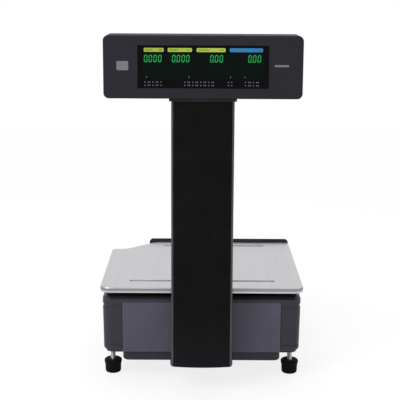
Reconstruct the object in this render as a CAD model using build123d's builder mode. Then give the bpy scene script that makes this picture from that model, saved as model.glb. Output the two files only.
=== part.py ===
from build123d import *
import math
import os

# Pole type retail price scale. Millimetres, +Z up, customer side towards -Y,
# operator side towards +Y, origin under the middle of the whole scale at bench level.

os.makedirs("parts", exist_ok=True)

# ---- driving dimensions ----
platter_width = 320.0
platter_depth = 296.0
platter_top = 151.0
head_width = 288.0
head_height = 90.7
head_depth = 62.0
head_bottom = 453.1
column_width = 93.0
column_depth = 46.0
column_bow = 4.0
console_depth = 118.0
console_slope = 23.5
column_lead = 61.0       # head front to the near edge of the platter
console_gap = 4.0        # platter to console
foot_spread = 34.5       # foot axis from the platter's near edge and from the console's far edge

# ---- clearances ----
seam = 0.3
running_fit = 0.05
platter_gap = 5.5        # skirt above the cover's deck

# ---- sheet and wall thicknesses ----
wall = 2.5
platter_sheet = 1.2
head_face = 4.0
pane = 2.0
board = 1.6

# ---- places along Y ----
overall_depth = column_lead + platter_depth + console_gap + console_depth
head_front_y = -overall_depth / 2
head_back_y = head_front_y + head_depth
platter_near_y = head_front_y + column_lead
platter_far_y = platter_near_y + platter_depth
platter_mid_y = (platter_near_y + platter_far_y) / 2
console_near_y = platter_far_y + console_gap
console_far_y = console_near_y + console_depth
body_front_y = platter_near_y + 2.0
column_front_y = head_front_y + 11.0
column_back_y = column_front_y + column_depth

# ---- places along X ----
platter_overhang = 3.5
body_half = platter_width / 2 - platter_overhang
module_width = 31.0
seam_x = body_half - module_width
printer_width = 60.0
printer_inner_x = -body_half + printer_width
console_left_x = printer_inner_x + seam + 0.2
console_right_x = platter_width / 2
console_mid_x = (console_left_x + console_right_x) / 2
console_half = (console_right_x - console_left_x) / 2

# ---- heights ----
skirt = 8.5
deck_top = platter_top - skirt - platter_gap
cover_bottom = deck_top - 10.5
bead_height = 3.8
bead_proud = 2.6
module_top = cover_bottom - seam
module_bottom = 46.0
tray_bottom = 28.8
flange_bottom = 42.0
side_draft = 1.2
console_top = platter_top + 5.4
console_split = 98.0
corner_radius = 14.0

# ---- platter notch beside the printer ----
notch_depth = 52.0
notch_flat = 24.5
printer_near_y = platter_far_y - notch_depth - 1.0
printer_roof = 126.0

# ---- load cell and its seat ----
cell_length = 130.0
cell_width = 30.0
cell_height = 24.0
cell_bottom = 88.0
cell_seat = 32.0
stop_gap = 0.8

# ---- levelling feet ----
foot_x = body_half - 13.7
pad_height = 22.0
pad_radius = 14.0
stud_radius = 4.0
stud_top = 56.0
boss_top = 62.0
boss_radius = 10.0
front_foot_y = platter_near_y + foot_spread
rear_foot_y = console_far_y - foot_spread


def facing_customer(y):
    """A drawing plane at depth y whose normal points to the customer."""
    return Plane.XZ.offset(-y)


def outline(points):
    """A closed straight-sided face in the active sketch."""
    Polygon(*points, align=None)


def rounded_face(width, height, radius):
    """A rounded rectangle in the active sketch."""
    RectangleRounded(width, height, radius)


# ================= feet =================
feet = (
    ("front_left", -foot_x, front_foot_y),
    ("front_right", foot_x, front_foot_y),
    ("rear_left", -foot_x, rear_foot_y),
    ("rear_right", foot_x, rear_foot_y),
)
stud_seat = 8.0
for corner, foot_at_x, foot_at_y in feet:
    foot_plane = Plane(origin=(foot_at_x, foot_at_y, 0), x_dir=(1, 0, 0), z_dir=(0, -1, 0))
    with BuildPart() as foot_pad:
        with BuildSketch(foot_plane):
            with BuildLine():
                Polyline((0, 0), (9.5, 0))
                ThreePointArc((9.5, 0), (11.6, 0.9), (12.5, 3.0))
                Polyline((12.5, 3.0), (12.9, 13.0), (pad_radius, 17.5), (pad_radius, 20.5))
                Line((pad_radius, 20.5), (12.5, pad_height))
                Polyline((12.5, pad_height), (0, pad_height), (0, 0))
            make_face()
        revolve(axis=Axis((foot_at_x, foot_at_y, 0), (0, 0, 1)))
        with BuildSketch(Plane.XY.offset(pad_height)):
            with Locations((foot_at_x, foot_at_y)):
                Circle(stud_radius)
        extrude(amount=-(pad_height - stud_seat), mode=Mode.SUBTRACT)
    foot_pad.part.label = f"{corner}_foot_pad"
    export_step(foot_pad.part, f"parts/{corner}_foot_pad.step")

    with BuildPart() as foot_stud:
        with BuildSketch(Plane.XY.offset(stud_seat)):
            with Locations((foot_at_x, foot_at_y)):
                Circle(stud_radius)
        extrude(amount=stud_top - stud_seat)
        chamfer(foot_stud.edges().sort_by(Axis.Z)[-1], length=0.8)
    foot_stud.part.label = f"{corner}_foot_stud"
    export_step(foot_stud.part, f"parts/{corner}_foot_stud.step")

# ================= chassis =================
panel_sheet = 3.0
chassis_near_y = body_front_y + panel_sheet + seam
chassis_far_y = console_far_y - 7.5
chassis_mid_y = (chassis_near_y + chassis_far_y) / 2
tray_floor = tray_bottom + 3.0
pedestal_x = -cell_length / 2 + cell_seat / 2
main_board_x = 30.0
main_board_y = body_front_y + 66.5
main_board_width = 140.0
main_board_depth = 80.0
supply_x = 68.0
supply_y = platter_mid_y + 83.0
supply_width = 96.0
supply_depth = 84.0
board_height = 40.0
bracket_near_y = column_back_y
bracket_far_y = bracket_near_y + 122.0
bracket_screw_y = (bracket_near_y + bracket_far_y) / 2 + 4.0
screw_radius = 3.0
with BuildPart() as base_chassis:
    with BuildSketch(Plane.XY.offset(tray_bottom)):
        with Locations((0, chassis_mid_y)):
            rounded_face(2 * seam_x - 1.0, chassis_far_y - chassis_near_y, 10)
    extrude(amount=module_bottom - tray_bottom)
    fillet(base_chassis.edges().group_by(Axis.Z)[0], radius=4)
    with BuildSketch(Plane.XY.offset(flange_bottom)):
        with Locations((0, chassis_mid_y + 1.0)):
            rounded_face(2 * (body_half - 4.5), chassis_far_y - chassis_near_y - 6.0, 12)
    extrude(amount=module_bottom - flange_bottom)
    with BuildSketch(Plane.XY.offset(tray_floor)):
        with Locations((0, chassis_mid_y)):
            rounded_face(2 * seam_x - 7.0, chassis_far_y - chassis_near_y - 6.0, 7)
    extrude(amount=module_bottom, mode=Mode.SUBTRACT)
    with BuildSketch(Plane.XY.offset(flange_bottom)):
        for corner, foot_at_x, foot_at_y in feet:
            with Locations((foot_at_x, foot_at_y)):
                Circle(boss_radius)
    extrude(amount=boss_top - flange_bottom)
    with BuildSketch(Plane.XY.offset(tray_floor)):
        with Locations((pedestal_x, platter_mid_y)):
            Rectangle(cell_seat, cell_width + 6)
    extrude(amount=cell_bottom - tray_floor)
    with BuildSketch(Plane.XY.offset(tray_floor)):
        with Locations((main_board_x, main_board_y)):
            with GridLocations(main_board_width - 12, main_board_depth - 12, 2, 2):
                Circle(3.5)
        with Locations((supply_x, supply_y)):
            with GridLocations(supply_width - 12, supply_depth - 12, 2, 2):
                Circle(3.5)
    extrude(amount=board_height - tray_floor)
    with BuildSketch(Plane.XY.offset(tray_bottom - 1)):
        for corner, foot_at_x, foot_at_y in feet:
            with Locations((foot_at_x, foot_at_y)):
                Circle(stud_radius + running_fit)
        with Locations((0, bracket_screw_y)):
            with GridLocations(64, 66, 2, 2):
                Circle(screw_radius + running_fit)
    extrude(amount=boss_top, mode=Mode.SUBTRACT)
base_chassis.part.label = "base_chassis"
export_step(base_chassis.part, "parts/base_chassis.step")


# ================= side housings and printer housing =================
def draft_at(z):
    """Half width of the drafted body side at height z."""
    rise = (z - module_bottom) / (module_top - module_bottom)
    return body_half - side_draft * (1 - rise)


def section(side, inner_x, top, inset, open_inside):
    """Drafted side wall section in XZ, drawn as the face from the wall to inner_x."""
    foot_edge = side * (draft_at(module_bottom) - inset)
    head_edge = side * (draft_at(top) - inset)
    inward = inner_x - side * (2.0 if open_inside else 0.0)
    cap = top + (5.0 if inset else 0.0)
    outline([
        (inward, module_bottom + inset),
        (foot_edge, module_bottom + inset),
        (head_edge, cap),
        (inward, cap),
    ])


def outer_groove(side, near_y, far_y, inner_x, low, high, deep):
    """The frame cut away all round the outer faces between two heights."""
    edge = draft_at((low + high) / 2) - deep
    width = edge + abs(inner_x) + 20
    with BuildSketch(Plane.XY.offset(low)) as ring:
        with Locations((side * body_half / 2, (near_y + far_y) / 2)):
            Rectangle(body_half + 60, far_y - near_y + 60)
        with Locations((side * (edge - width / 2), (near_y + far_y) / 2)):
            RectangleRounded(width, far_y - near_y, corner_radius - deep, mode=Mode.SUBTRACT)
    extrude(ring.sketch, amount=high - low, mode=Mode.SUBTRACT)


groove_low = module_top - 10.0
groove_high = module_top - 3.3
line_low = 55.0
line_high = 58.0
entry_y = platter_near_y + 85.0
entry_z = 71.0
entry_span = 56.0
entry_rise = 28.0
port_z = 71.0
ports = ((entry_y + 53.0, 15.0, 13.0), (entry_y + 76.0, 15.0, 13.0), (entry_y + 106.0, 30.0, 12.0))

core_radius = corner_radius - wall
with BuildPart() as right_side_core:
    with BuildSketch(facing_customer(console_far_y - wall)):
        section(1, seam_x, module_top, wall, True)
    extrude(amount=console_far_y - body_front_y - 2 * wall)
    standing = right_side_core.edges().filter_by(lambda e: e.center().X > body_half - wall - 4)
    fillet(standing.filter_by(lambda e: 84 < e.center().Z < 100 and e.length < 100), radius=core_radius)

with BuildPart() as right_side_housing:
    with BuildSketch(facing_customer(console_far_y)):
        section(1, seam_x, module_top, 0.0, False)
    extrude(amount=console_far_y - body_front_y)
    standing = right_side_housing.edges().filter_by(lambda e: e.length > 60)
    standing = standing.filter_by(lambda e: abs(e.center().X) > body_half - 4)
    fillet(standing.filter_by(lambda e: abs(e.center().Z - 86) < 9), radius=corner_radius)
    lower = right_side_housing.edges().filter_by(lambda e: abs(e.center().Z - module_bottom) < 0.01)
    fillet(lower.filter_by(lambda e: e.center().X > seam_x + 1), radius=5)
    add(right_side_core.part, mode=Mode.SUBTRACT)
    with BuildSketch(Plane.XY.offset(console_split)):
        with Locations((body_half, (console_near_y + console_far_y) / 2 + 20)):
            Rectangle(4 * module_width, console_depth + 40 + 2 * seam)
    extrude(amount=60, mode=Mode.SUBTRACT)
    outer_groove(1, body_front_y + 1.2, console_far_y + 40, seam_x, groove_low, groove_high, 1.2)
    outer_groove(1, body_front_y + 0.9, console_far_y - 0.9, seam_x, line_low, line_high, 0.9)
    with BuildSketch(Plane.XY.offset(module_bottom - 1)):
        with Locations((foot_x, front_foot_y), (foot_x, rear_foot_y)):
            Circle(boss_radius + seam)
    extrude(amount=boss_top - module_bottom + 2, mode=Mode.SUBTRACT)
    with BuildSketch(Plane.YZ.offset(body_half - 12)):
        with Locations((entry_y, entry_z)):
            Rectangle(entry_span - 8 + 2 * seam, entry_rise - 6 + 2 * seam)
        for port_y, port_span, port_rise in ports:
            with Locations((port_y, port_z)):
                Rectangle(port_span + 2 * seam, port_rise + 2 * seam)
    extrude(amount=20, mode=Mode.SUBTRACT)
right_side_housing.part.label = "right_side_housing"
export_step(right_side_housing.part, "parts/right_side_housing.step")

left_far_y = printer_near_y - seam
with BuildPart() as left_side_core:
    with BuildSketch(facing_customer(left_far_y + 1)):
        section(-1, -seam_x, module_top, wall, True)
    extrude(amount=left_far_y - body_front_y - wall + 1)
    standing = left_side_core.edges().filter_by(lambda e: e.center().X < -body_half + wall + 4)
    standing = standing.filter_by(lambda e: 84 < e.center().Z < 100 and e.center().Y < body_front_y + wall + 1)
    fillet(standing, radius=core_radius)

with BuildPart() as left_side_housing:
    with BuildSketch(facing_customer(left_far_y)):
        section(-1, -seam_x, module_top, 0.0, False)
    extrude(amount=left_far_y - body_front_y)
    standing = left_side_housing.edges().filter_by(lambda e: abs(e.center().X) > body_half - 4)
    standing = standing.filter_by(lambda e: abs(e.center().Y - body_front_y) < 0.5)
    fillet(standing.filter_by(lambda e: abs(e.center().Z - 86) < 9), radius=corner_radius)
    lower = left_side_housing.edges().filter_by(lambda e: abs(e.center().Z - module_bottom) < 0.01)
    lower = lower.filter_by(lambda e: e.center().X < -seam_x - 1 and e.center().Y < left_far_y - 1)
    fillet(lower, radius=5)
    add(left_side_core.part, mode=Mode.SUBTRACT)
    outer_groove(-1, body_front_y + 1.2, left_far_y + 40, -seam_x, groove_low, groove_high, 1.2)
    outer_groove(-1, body_front_y + 0.9, left_far_y + 40, -seam_x, line_low, line_high, 0.9)
    with BuildSketch(Plane.XY.offset(module_bottom - 1)):
        with Locations((-foot_x, front_foot_y)):
            Circle(boss_radius + seam)
    extrude(amount=boss_top - module_bottom + 2, mode=Mode.SUBTRACT)
left_side_housing.part.label = "left_side_housing"
export_step(left_side_housing.part, "parts/left_side_housing.step")

with BuildPart() as customer_centre_panel:
    with BuildSketch(facing_customer(body_front_y)):
        with Locations((0, (44.9 + module_top) / 2)):
            Rectangle(2 * (seam_x - 0.5), module_top - 44.9)
    extrude(amount=-panel_sheet)
    fillet(customer_centre_panel.edges().filter_by(Axis.Z).group_by(Axis.Y)[0], radius=0.8)
    with BuildSketch(facing_customer(body_front_y + 10)):
        with Locations((0, 50.6)):
            Rectangle(26, 3)
    extrude(amount=20, mode=Mode.SUBTRACT)
customer_centre_panel.part.label = "customer_centre_panel"
export_step(customer_centre_panel.part, "parts/customer_centre_panel.step")

lower_panel_left = printer_inner_x + seam
with BuildPart() as operator_lower_panel:
    with BuildSketch(facing_customer(console_far_y)):
        with Locations(((lower_panel_left + seam_x - 0.5) / 2, (module_bottom + console_split) / 2)):
            Rectangle(seam_x - 0.5 - lower_panel_left, console_split - module_bottom)
    extrude(amount=panel_sheet)
operator_lower_panel.part.label = "operator_lower_panel"
export_step(operator_lower_panel.part, "parts/operator_lower_panel.step")

# ---- printer lid line, shared by the housing and the lid ----
lid_axis_y = console_near_y - 0.5
lid_axis_z = printer_roof - 2.6
lid_slope = 11.0
lid_far_y = console_far_y - wall - seam
lid_tan = math.tan(math.radians(lid_slope))
lid_cos = math.cos(math.radians(lid_slope))
printer_inside_x = printer_inner_x - wall
slot_low = 84.0
slot_high = 92.0
printer_wall_x = -(draft_at(printer_roof - 2.6) - wall)
hub_y = printer_near_y + 93.5
hub_z = 82.0
hub_radius = 12.45
label_width = 43.0
label_left_x = -148.5 + 156.5 - body_half
label_right_x = label_left_x + label_width


def lid_top(y):
    """Height of the sloping lid surface at depth y."""
    return printer_roof - max(0.0, y - lid_axis_y) * lid_tan


with BuildPart() as printer_core:
    with BuildSketch(facing_customer(console_far_y - wall)):
        outline([
            (printer_inside_x, module_bottom + wall),
            (-draft_at(module_bottom) + wall, module_bottom + wall),
            (-draft_at(printer_roof) + wall, printer_roof - wall),
            (printer_inside_x, printer_roof - wall),
        ])
    extrude(amount=console_far_y - printer_near_y - 2 * wall)
    standing = printer_core.edges().filter_by(lambda e: e.center().X < -body_half + wall + 4)
    standing = standing.filter_by(lambda e: 80 < e.center().Z < 95 and e.length < 100)
    fillet(standing.sort_by(Axis.Y)[-1], radius=core_radius)

with BuildPart() as printer_mouth:
    with BuildSketch(Plane.XY.offset(printer_roof - 12)):
        with Locations(
            ((printer_inside_x + printer_wall_x) / 2, (lid_axis_y - 3.2 + console_far_y - wall) / 2)
        ):
            Rectangle(printer_inside_x - printer_wall_x, console_far_y - wall - lid_axis_y + 3.2)
    extrude(amount=20)
    standing = printer_mouth.edges().filter_by(Axis.Z).group_by(Axis.X)[0]
    fillet(standing.sort_by(Axis.Y)[-1], radius=core_radius)

with BuildPart() as printer_housing:
    with BuildSketch(facing_customer(console_far_y)):
        section(-1, printer_inner_x, printer_roof, 0.0, False)
    extrude(amount=console_far_y - printer_near_y)
    corner_edges = printer_housing.edges().filter_by(lambda e: abs(e.center().Y - console_far_y) < 0.5)
    corner_edges = corner_edges.filter_by(lambda e: e.center().X < -body_half + 4)
    fillet(corner_edges.filter_by(lambda e: abs(e.center().Z - 86) < 9), radius=corner_radius)
    lower = printer_housing.edges().filter_by(lambda e: abs(e.center().Z - module_bottom) < 0.01)
    lower = lower.filter_by(lambda e: e.center().X < printer_inner_x - 1 and e.center().Y > printer_near_y + 1)
    fillet(lower, radius=5)
    add(printer_core.part, mode=Mode.SUBTRACT)
    with BuildSketch(Plane.YZ.offset(-body_half - 5)):
        outline([
            (lid_axis_y, printer_roof),
            (console_far_y + 5, lid_top(console_far_y + 5)),
            (console_far_y + 5, printer_roof + 5),
            (lid_axis_y, printer_roof + 5),
        ])
    extrude(amount=printer_width + 10, mode=Mode.SUBTRACT)
    add(printer_mouth.part, mode=Mode.SUBTRACT)
    outer_groove(-1, printer_near_y - 40, console_far_y - 0.9, printer_inner_x, line_low, line_high, 0.9)
    with BuildSketch(facing_customer(console_far_y + 1)):
        with Locations(((label_left_x + label_right_x) / 2, (slot_low + slot_high) / 2)):
            Rectangle(label_width + 3, slot_high - slot_low)
    extrude(amount=wall + 2, mode=Mode.SUBTRACT)
    with BuildSketch(Plane.XY.offset(module_bottom - 1)):
        with Locations((-foot_x, rear_foot_y)):
            Circle(boss_radius + seam)
    extrude(amount=boss_top - module_bottom + 2, mode=Mode.SUBTRACT)
    with BuildSketch(Plane.YZ.offset(printer_inside_x + 1.5)):
        with Locations((lid_axis_y, lid_axis_z)):
            Circle(1.25)
    extrude(amount=-(printer_inside_x + 1.5 + draft_at(lid_axis_z) - 1.0), mode=Mode.SUBTRACT)
    with BuildSketch(Plane.YZ.offset(printer_inside_x + 1)):
        with Locations((hub_y, hub_z)):
            Circle(hub_radius)
    extrude(amount=-(printer_inside_x + 1 - label_left_x))
printer_housing.part.label = "printer_housing"
export_step(printer_housing.part, "parts/printer_housing.step")

with BuildPart() as lid_hinge_pin:
    with BuildSketch(Plane.YZ.offset(printer_inside_x + 1.5)):
        with Locations((lid_axis_y, lid_axis_z)):
            Circle(1.25)
    extrude(amount=-(printer_inside_x + 1.5 + draft_at(lid_axis_z) - 1.0))
lid_hinge_pin.part.label = "lid_hinge_pin"
export_step(lid_hinge_pin.part, "parts/lid_hinge_pin.step")

lid_left_x = -draft_at(lid_axis_z) + wall + 0.6
lid_right_x = printer_inside_x - 0.5
lid_mid_x = (lid_left_x + lid_right_x) / 2
lid_reach = (lid_far_y - lid_axis_y) / lid_cos - 1.0
latch_slot = 11.0
latch_from_end = 22.0
lid_plane = Plane(
    origin=(lid_mid_x, lid_axis_y, lid_axis_z),
    x_dir=(1, 0, 0),
    z_dir=(0, math.sin(math.radians(lid_slope)), lid_cos),
)
lid_yz = Plane(origin=(lid_left_x, lid_axis_y, lid_axis_z), x_dir=lid_plane.y_dir, z_dir=(1, 0, 0))
with BuildPart() as printer_lid:
    with BuildSketch(lid_yz):
        outline([(0, 2.6), (lid_reach, 2.6), (lid_reach, 0.2), (0, 0.2)])
        Circle(2.6)
        Circle(1.25 + running_fit, mode=Mode.SUBTRACT)
    extrude(amount=lid_right_x - lid_left_x)
    with BuildSketch(lid_plane):
        with Locations((0, lid_reach - latch_from_end)):
            Rectangle(6.6, latch_slot)
    extrude(amount=5, mode=Mode.SUBTRACT)
    far_corner = printer_lid.edges().filter_by(lambda e: e.center().X < lid_left_x + 0.1 and e.length < 3)
    fillet(far_corner.sort_by(Axis.Y)[-1], radius=core_radius - 0.6)
    for rib_x in (-16.0, 16.0):
        with BuildSketch(lid_yz.offset((lid_right_x - lid_left_x) / 2 + rib_x - 0.8)):
            outline([(50, 0.4), (90, 0.4), (84, -1.6), (56, -1.6)])
        extrude(amount=1.6)
printer_lid.part.label = "printer_lid"
export_step(printer_lid.part, "parts/printer_lid.step")

with BuildPart() as lid_latch:
    with BuildSketch(lid_plane.offset(2.6 + 0.1)):
        with Locations((0, lid_reach - latch_from_end + 2.0)):
            rounded_face(18, 10, 2)
    extrude(amount=1.6)
    with BuildSketch(lid_plane.offset(-0.9)):
        with Locations((0, lid_reach - latch_from_end + 2.0)):
            Rectangle(6, 6)
    extrude(amount=3.8)
    with BuildSketch(lid_plane.offset(-0.1)):
        with Locations((0, lid_reach - latch_from_end + 3.5)):
            Rectangle(14, 9)
    extrude(amount=-1.4)
lid_latch.part.label = "lid_latch"
export_step(lid_latch.part, "parts/lid_latch.step")

# ================= printer works =================
platen_y = console_far_y - 17.5
platen_z = 88.0
platen_radius = 6.0
platen_shaft_radius = 2.5
platen_gear_radius = 14.0
pinion_radius = 5.0
gear_tip_gap = 0.3
motor_angle = math.radians(40)
gear_distance = platen_gear_radius + pinion_radius + gear_tip_gap
motor_y = platen_y - gear_distance * math.cos(motor_angle)
motor_z = platen_z - gear_distance * math.sin(motor_angle)
plate_outer_x = -(draft_at(64.0) - wall) + 0.2
plate_inner_x = printer_inside_x - 0.1
gear_right_x = plate_inner_x - 2.4
gear_width = 4.0
rubber_right_x = gear_right_x - gear_width - 0.5
with BuildPart() as printer_frame:
    with BuildSketch(Plane.YZ.offset(plate_outer_x)):
        with Locations((console_far_y - 31.2, 81.5)):
            rounded_face(36.6, 35, 4)
    extrude(amount=2.0)
    with BuildSketch(Plane.YZ.offset(plate_inner_x)):
        with Locations((console_far_y - 31.2, 81.5)):
            rounded_face(36.6, 35, 4)
    extrude(amount=-2.0)
    with BuildSketch(Plane.YZ.offset(plate_outer_x + 1)):
        with Locations((console_far_y - 43.5, 92), (console_far_y - 16.0, 69)):
            Circle(2.5)
    extrude(amount=plate_inner_x - plate_outer_x - 2)
    with BuildSketch(Plane.YZ.offset(plate_outer_x - 1)):
        with Locations((platen_y, platen_z)):
            Circle(platen_shaft_radius + running_fit)
    extrude(amount=80, mode=Mode.SUBTRACT)
    with BuildSketch(Plane.YZ.offset(plate_inner_x - 5)):
        with Locations((motor_y, motor_z)):
            Circle(1.5 + running_fit)
    extrude(amount=10, mode=Mode.SUBTRACT)
printer_frame.part.label = "printer_frame"
export_step(printer_frame.part, "parts/printer_frame.step")

with BuildPart() as platen_shaft:
    with BuildSketch(Plane.YZ.offset(plate_outer_x + 0.2)):
        with Locations((platen_y, platen_z)):
            Circle(platen_shaft_radius)
    extrude(amount=plate_inner_x - plate_outer_x - 0.4)
platen_shaft.part.label = "platen_shaft"
export_step(platen_shaft.part, "parts/platen_shaft.step")

with BuildPart() as platen_rubber:
    with BuildSketch(Plane.YZ.offset(plate_outer_x + 3.2)):
        with Locations((platen_y, platen_z)):
            Circle(platen_radius)
            Circle(platen_shaft_radius, mode=Mode.SUBTRACT)
    extrude(amount=rubber_right_x - plate_outer_x - 3.2)
platen_rubber.part.label = "platen_rubber"
export_step(platen_rubber.part, "parts/platen_rubber.step")


def toothed_disc(centre_y, centre_z, radius, teeth, bore):
    """Spur wheel outline: a root disc with evenly spaced teeth, and its bore."""
    with Locations((centre_y, centre_z)):
        Circle(radius - 1.2)
        with PolarLocations(radius - 1.2, teeth):
            Rectangle(2.0, 1.3)
        if bore:
            Circle(bore, mode=Mode.SUBTRACT)


with BuildPart() as platen_gear:
    with BuildSketch(Plane.YZ.offset(gear_right_x - gear_width)):
        toothed_disc(platen_y, platen_z, platen_gear_radius, 28, platen_shaft_radius)
    extrude(amount=gear_width)
platen_gear.part.label = "platen_gear"
export_step(platen_gear.part, "parts/platen_gear.step")

motor_length = 28.0
with BuildPart() as printer_motor:
    with BuildSketch(Plane.YZ.offset(plate_outer_x + 2.0)):
        with Locations((motor_y, motor_z)):
            Circle(11.8)
    extrude(amount=motor_length)
    with BuildSketch(Plane.YZ.offset(plate_outer_x + 2.0 + motor_length)):
        with Locations((motor_y, motor_z)):
            Circle(1.5 + running_fit)
    extrude(amount=-8, mode=Mode.SUBTRACT)
printer_motor.part.label = "printer_motor"
export_step(printer_motor.part, "parts/printer_motor.step")

with BuildPart() as motor_pinion:
    with BuildSketch(Plane.YZ.offset(gear_right_x - gear_width)):
        toothed_disc(motor_y, motor_z, pinion_radius, 10, 0)
    extrude(amount=gear_width)
    with BuildSketch(Plane.YZ.offset(plate_outer_x + motor_length - 4.0)):
        with Locations((motor_y, motor_z)):
            Circle(1.5)
    extrude(amount=plate_inner_x - 0.4 - plate_outer_x - motor_length + 4.0)
motor_pinion.part.label = "motor_pinion"
export_step(motor_pinion.part, "parts/motor_pinion.step")

with BuildPart() as thermal_head:
    with BuildSketch(Plane.YZ.offset(plate_outer_x + 2.0)):
        with Locations((platen_y, platen_z + platen_radius + 0.3 + 1.0)):
            Rectangle(14, 2.0)
        with Locations((platen_y + 2, platen_z + platen_radius + 0.3 + 3.0)):
            Rectangle(8, 2.4)
    extrude(amount=rubber_right_x - plate_outer_x - 2.2)
thermal_head.part.label = "thermal_head"
export_step(thermal_head.part, "parts/thermal_head.step")

with BuildPart() as label_roll:
    with BuildSketch(Plane.YZ.offset(label_left_x)):
        with Locations((hub_y, hub_z)):
            Circle(26)
            Circle(hub_radius + running_fit, mode=Mode.SUBTRACT)
    extrude(amount=label_width)
label_roll.part.label = "label_roll"
export_step(label_roll.part, "parts/label_roll.step")

# ================= upper cover =================
cover_far_y = console_near_y - seam
cover_step_y = printer_near_y - seam
cover_step_x = printer_inner_x + seam


def cover_outline(inset):
    """Plan of the upper cover, stepped round the printer, with rounded corners."""
    left = -body_half + inset
    right = body_half - inset
    near = body_front_y + inset
    far = cover_far_y - inset
    step_x = cover_step_x + inset
    step_y = cover_step_y - inset
    corners = ((left, near), (right, near), (right, far), (step_x, far), (step_x, step_y), (left, step_y))
    near_radius = corner_radius - inset
    with BuildLine() as edge_line:
        FilletPolyline(*corners, radius=(near_radius, near_radius, 0, 0, 0, 0), close=True)
    make_face(edge_line.edges())


hole_x = cell_length / 2 - cell_seat / 2
level_x = 70.0
level_y = platter_near_y + 52.0
stop_spread_x = 210.0
stop_spread_y = 130.0
with BuildPart() as cover_core:
    with BuildSketch(Plane.XY.offset(cover_bottom - 1)):
        cover_outline(wall)
    extrude(amount=deck_top - wall - cover_bottom + 1)
    chamfer(cover_core.edges().group_by(Axis.Z)[-1], length=6.5)

with BuildPart() as top_cover:
    with BuildSketch(Plane.XY.offset(cover_bottom)):
        cover_outline(0.0)
    extrude(amount=deck_top - cover_bottom)
    chamfer(top_cover.edges().group_by(Axis.Z)[-1], length=6.5)
    with BuildSketch(Plane.XY.offset(cover_bottom)):
        with Locations((0, (body_front_y + cover_step_y) / 2)):
            rounded_face(
                2 * (body_half + bead_proud),
                cover_step_y - body_front_y + 2 * bead_proud,
                corner_radius,
            )
        with Locations((0, cover_far_y / 2 + 20)):
            Rectangle(4 * body_half, cover_far_y + 200, mode=Mode.INTERSECT)
    extrude(amount=bead_height)
    add(cover_core.part, mode=Mode.SUBTRACT)
    with BuildSketch(Plane.XY.offset(deck_top - wall - 1)):
        with Locations((hole_x, platter_mid_y)):
            rounded_face(cell_seat + 8, cell_width + 8, 4)
        with Locations((level_x, level_y)):
            Circle(12.1)
        with Locations((0, platter_mid_y)):
            with GridLocations(stop_spread_x, stop_spread_y, 2, 2):
                Circle(3.0)
    extrude(amount=10, mode=Mode.SUBTRACT)
top_cover.part.label = "top_cover"
export_step(top_cover.part, "parts/top_cover.step")

# ================= weighing group =================
with BuildPart() as load_cell:
    with BuildSketch(facing_customer(platter_mid_y + cell_width / 2)):
        with Locations((0, cell_bottom + cell_height / 2)):
            Rectangle(cell_length, cell_height)
            with GridLocations(36, 1, 2, 1):
                Circle(9, mode=Mode.SUBTRACT)
            Rectangle(36, 8, mode=Mode.SUBTRACT)
    extrude(amount=cell_width)
    fillet(load_cell.edges().filter_by(Axis.Y).group_by(Axis.X)[0], radius=0.8)
load_cell.part.label = "load_cell"
export_step(load_cell.part, "parts/load_cell.step")

spider_thick = 6.0
spider_bottom = deck_top + 2.5
spider_top = spider_bottom + spider_thick
bar_x = 105.0
bar_width = 14.0
with BuildPart() as platter_spider:
    with BuildSketch(Plane.XY.offset(spider_bottom)):
        with Locations((-bar_x, platter_mid_y - 2), (bar_x, platter_mid_y - 2)):
            rounded_face(bar_width, platter_depth - 80, 6)
        with Locations((0, platter_mid_y)):
            Rectangle(2 * bar_x, 36)
    extrude(amount=spider_thick)
    with BuildSketch(Plane.XY.offset(cell_bottom + cell_height)):
        with Locations((hole_x, platter_mid_y)):
            rounded_face(cell_seat, cell_width, 3)
    extrude(amount=spider_bottom - cell_bottom - cell_height)
platter_spider.part.label = "platter_spider"
export_step(platter_spider.part, "parts/platter_spider.step")

with BuildPart() as platter_buffers:
    with BuildSketch(Plane.XY.offset(spider_top)):
        with Locations((0, platter_mid_y - 2)):
            with GridLocations(2 * bar_x, platter_depth - 112, 2, 2):
                Circle(6.5)
    extrude(amount=platter_top - platter_sheet - spider_top)
platter_buffers.part.label = "platter_buffers"
export_step(platter_buffers.part, "parts/platter_buffers.step")

with BuildPart() as overload_stops:
    with BuildSketch(Plane.XY.offset(deck_top - 9)):
        with Locations((0, platter_mid_y)):
            with GridLocations(stop_spread_x, stop_spread_y, 2, 2):
                Circle(3.0)
    extrude(amount=9 + spider_bottom - deck_top - stop_gap)
overload_stops.part.label = "overload_stops"
export_step(overload_stops.part, "parts/overload_stops.step")

platter_corner = 16.0
platter_rim = 2.5
groove_width = 8.0
groove_depth = 1.2


def platter_outline(inset):
    """Plan of the platter with its swept notch beside the printer."""
    left = -platter_width / 2 + inset
    right = platter_width / 2 - inset
    near = platter_near_y + inset
    far = platter_far_y - inset
    flat_y = platter_far_y - notch_depth - inset
    knee_x = -platter_width / 2 + notch_flat + inset * 0.4
    shoulder_x = knee_x + far - flat_y
    corners = ((left, near), (right, near), (right, far), (shoulder_x, far), (knee_x, flat_y), (left, flat_y))
    radii = (
        platter_corner - inset,
        platter_corner - inset,
        10.0 - inset,
        36.0 - inset,
        20.0 + inset,
        9.0 - inset,
    )
    with BuildLine() as edge_line:
        FilletPolyline(*corners, radius=radii, close=True)
    make_face(edge_line.edges())


grooves = (
    (0.5, platter_near_y + 39.5, platter_width - 85.0),
    (23.0, platter_far_y - 28.0, platter_width - 132.0),
)
with BuildPart() as platter_hollow:
    with BuildSketch(Plane.XY.offset(platter_top - skirt - 1)):
        platter_outline(platter_sheet)
    extrude(amount=skirt + 1 - platter_sheet)
    fillet(platter_hollow.edges().group_by(Axis.Z)[-1], radius=platter_rim - platter_sheet)

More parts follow.
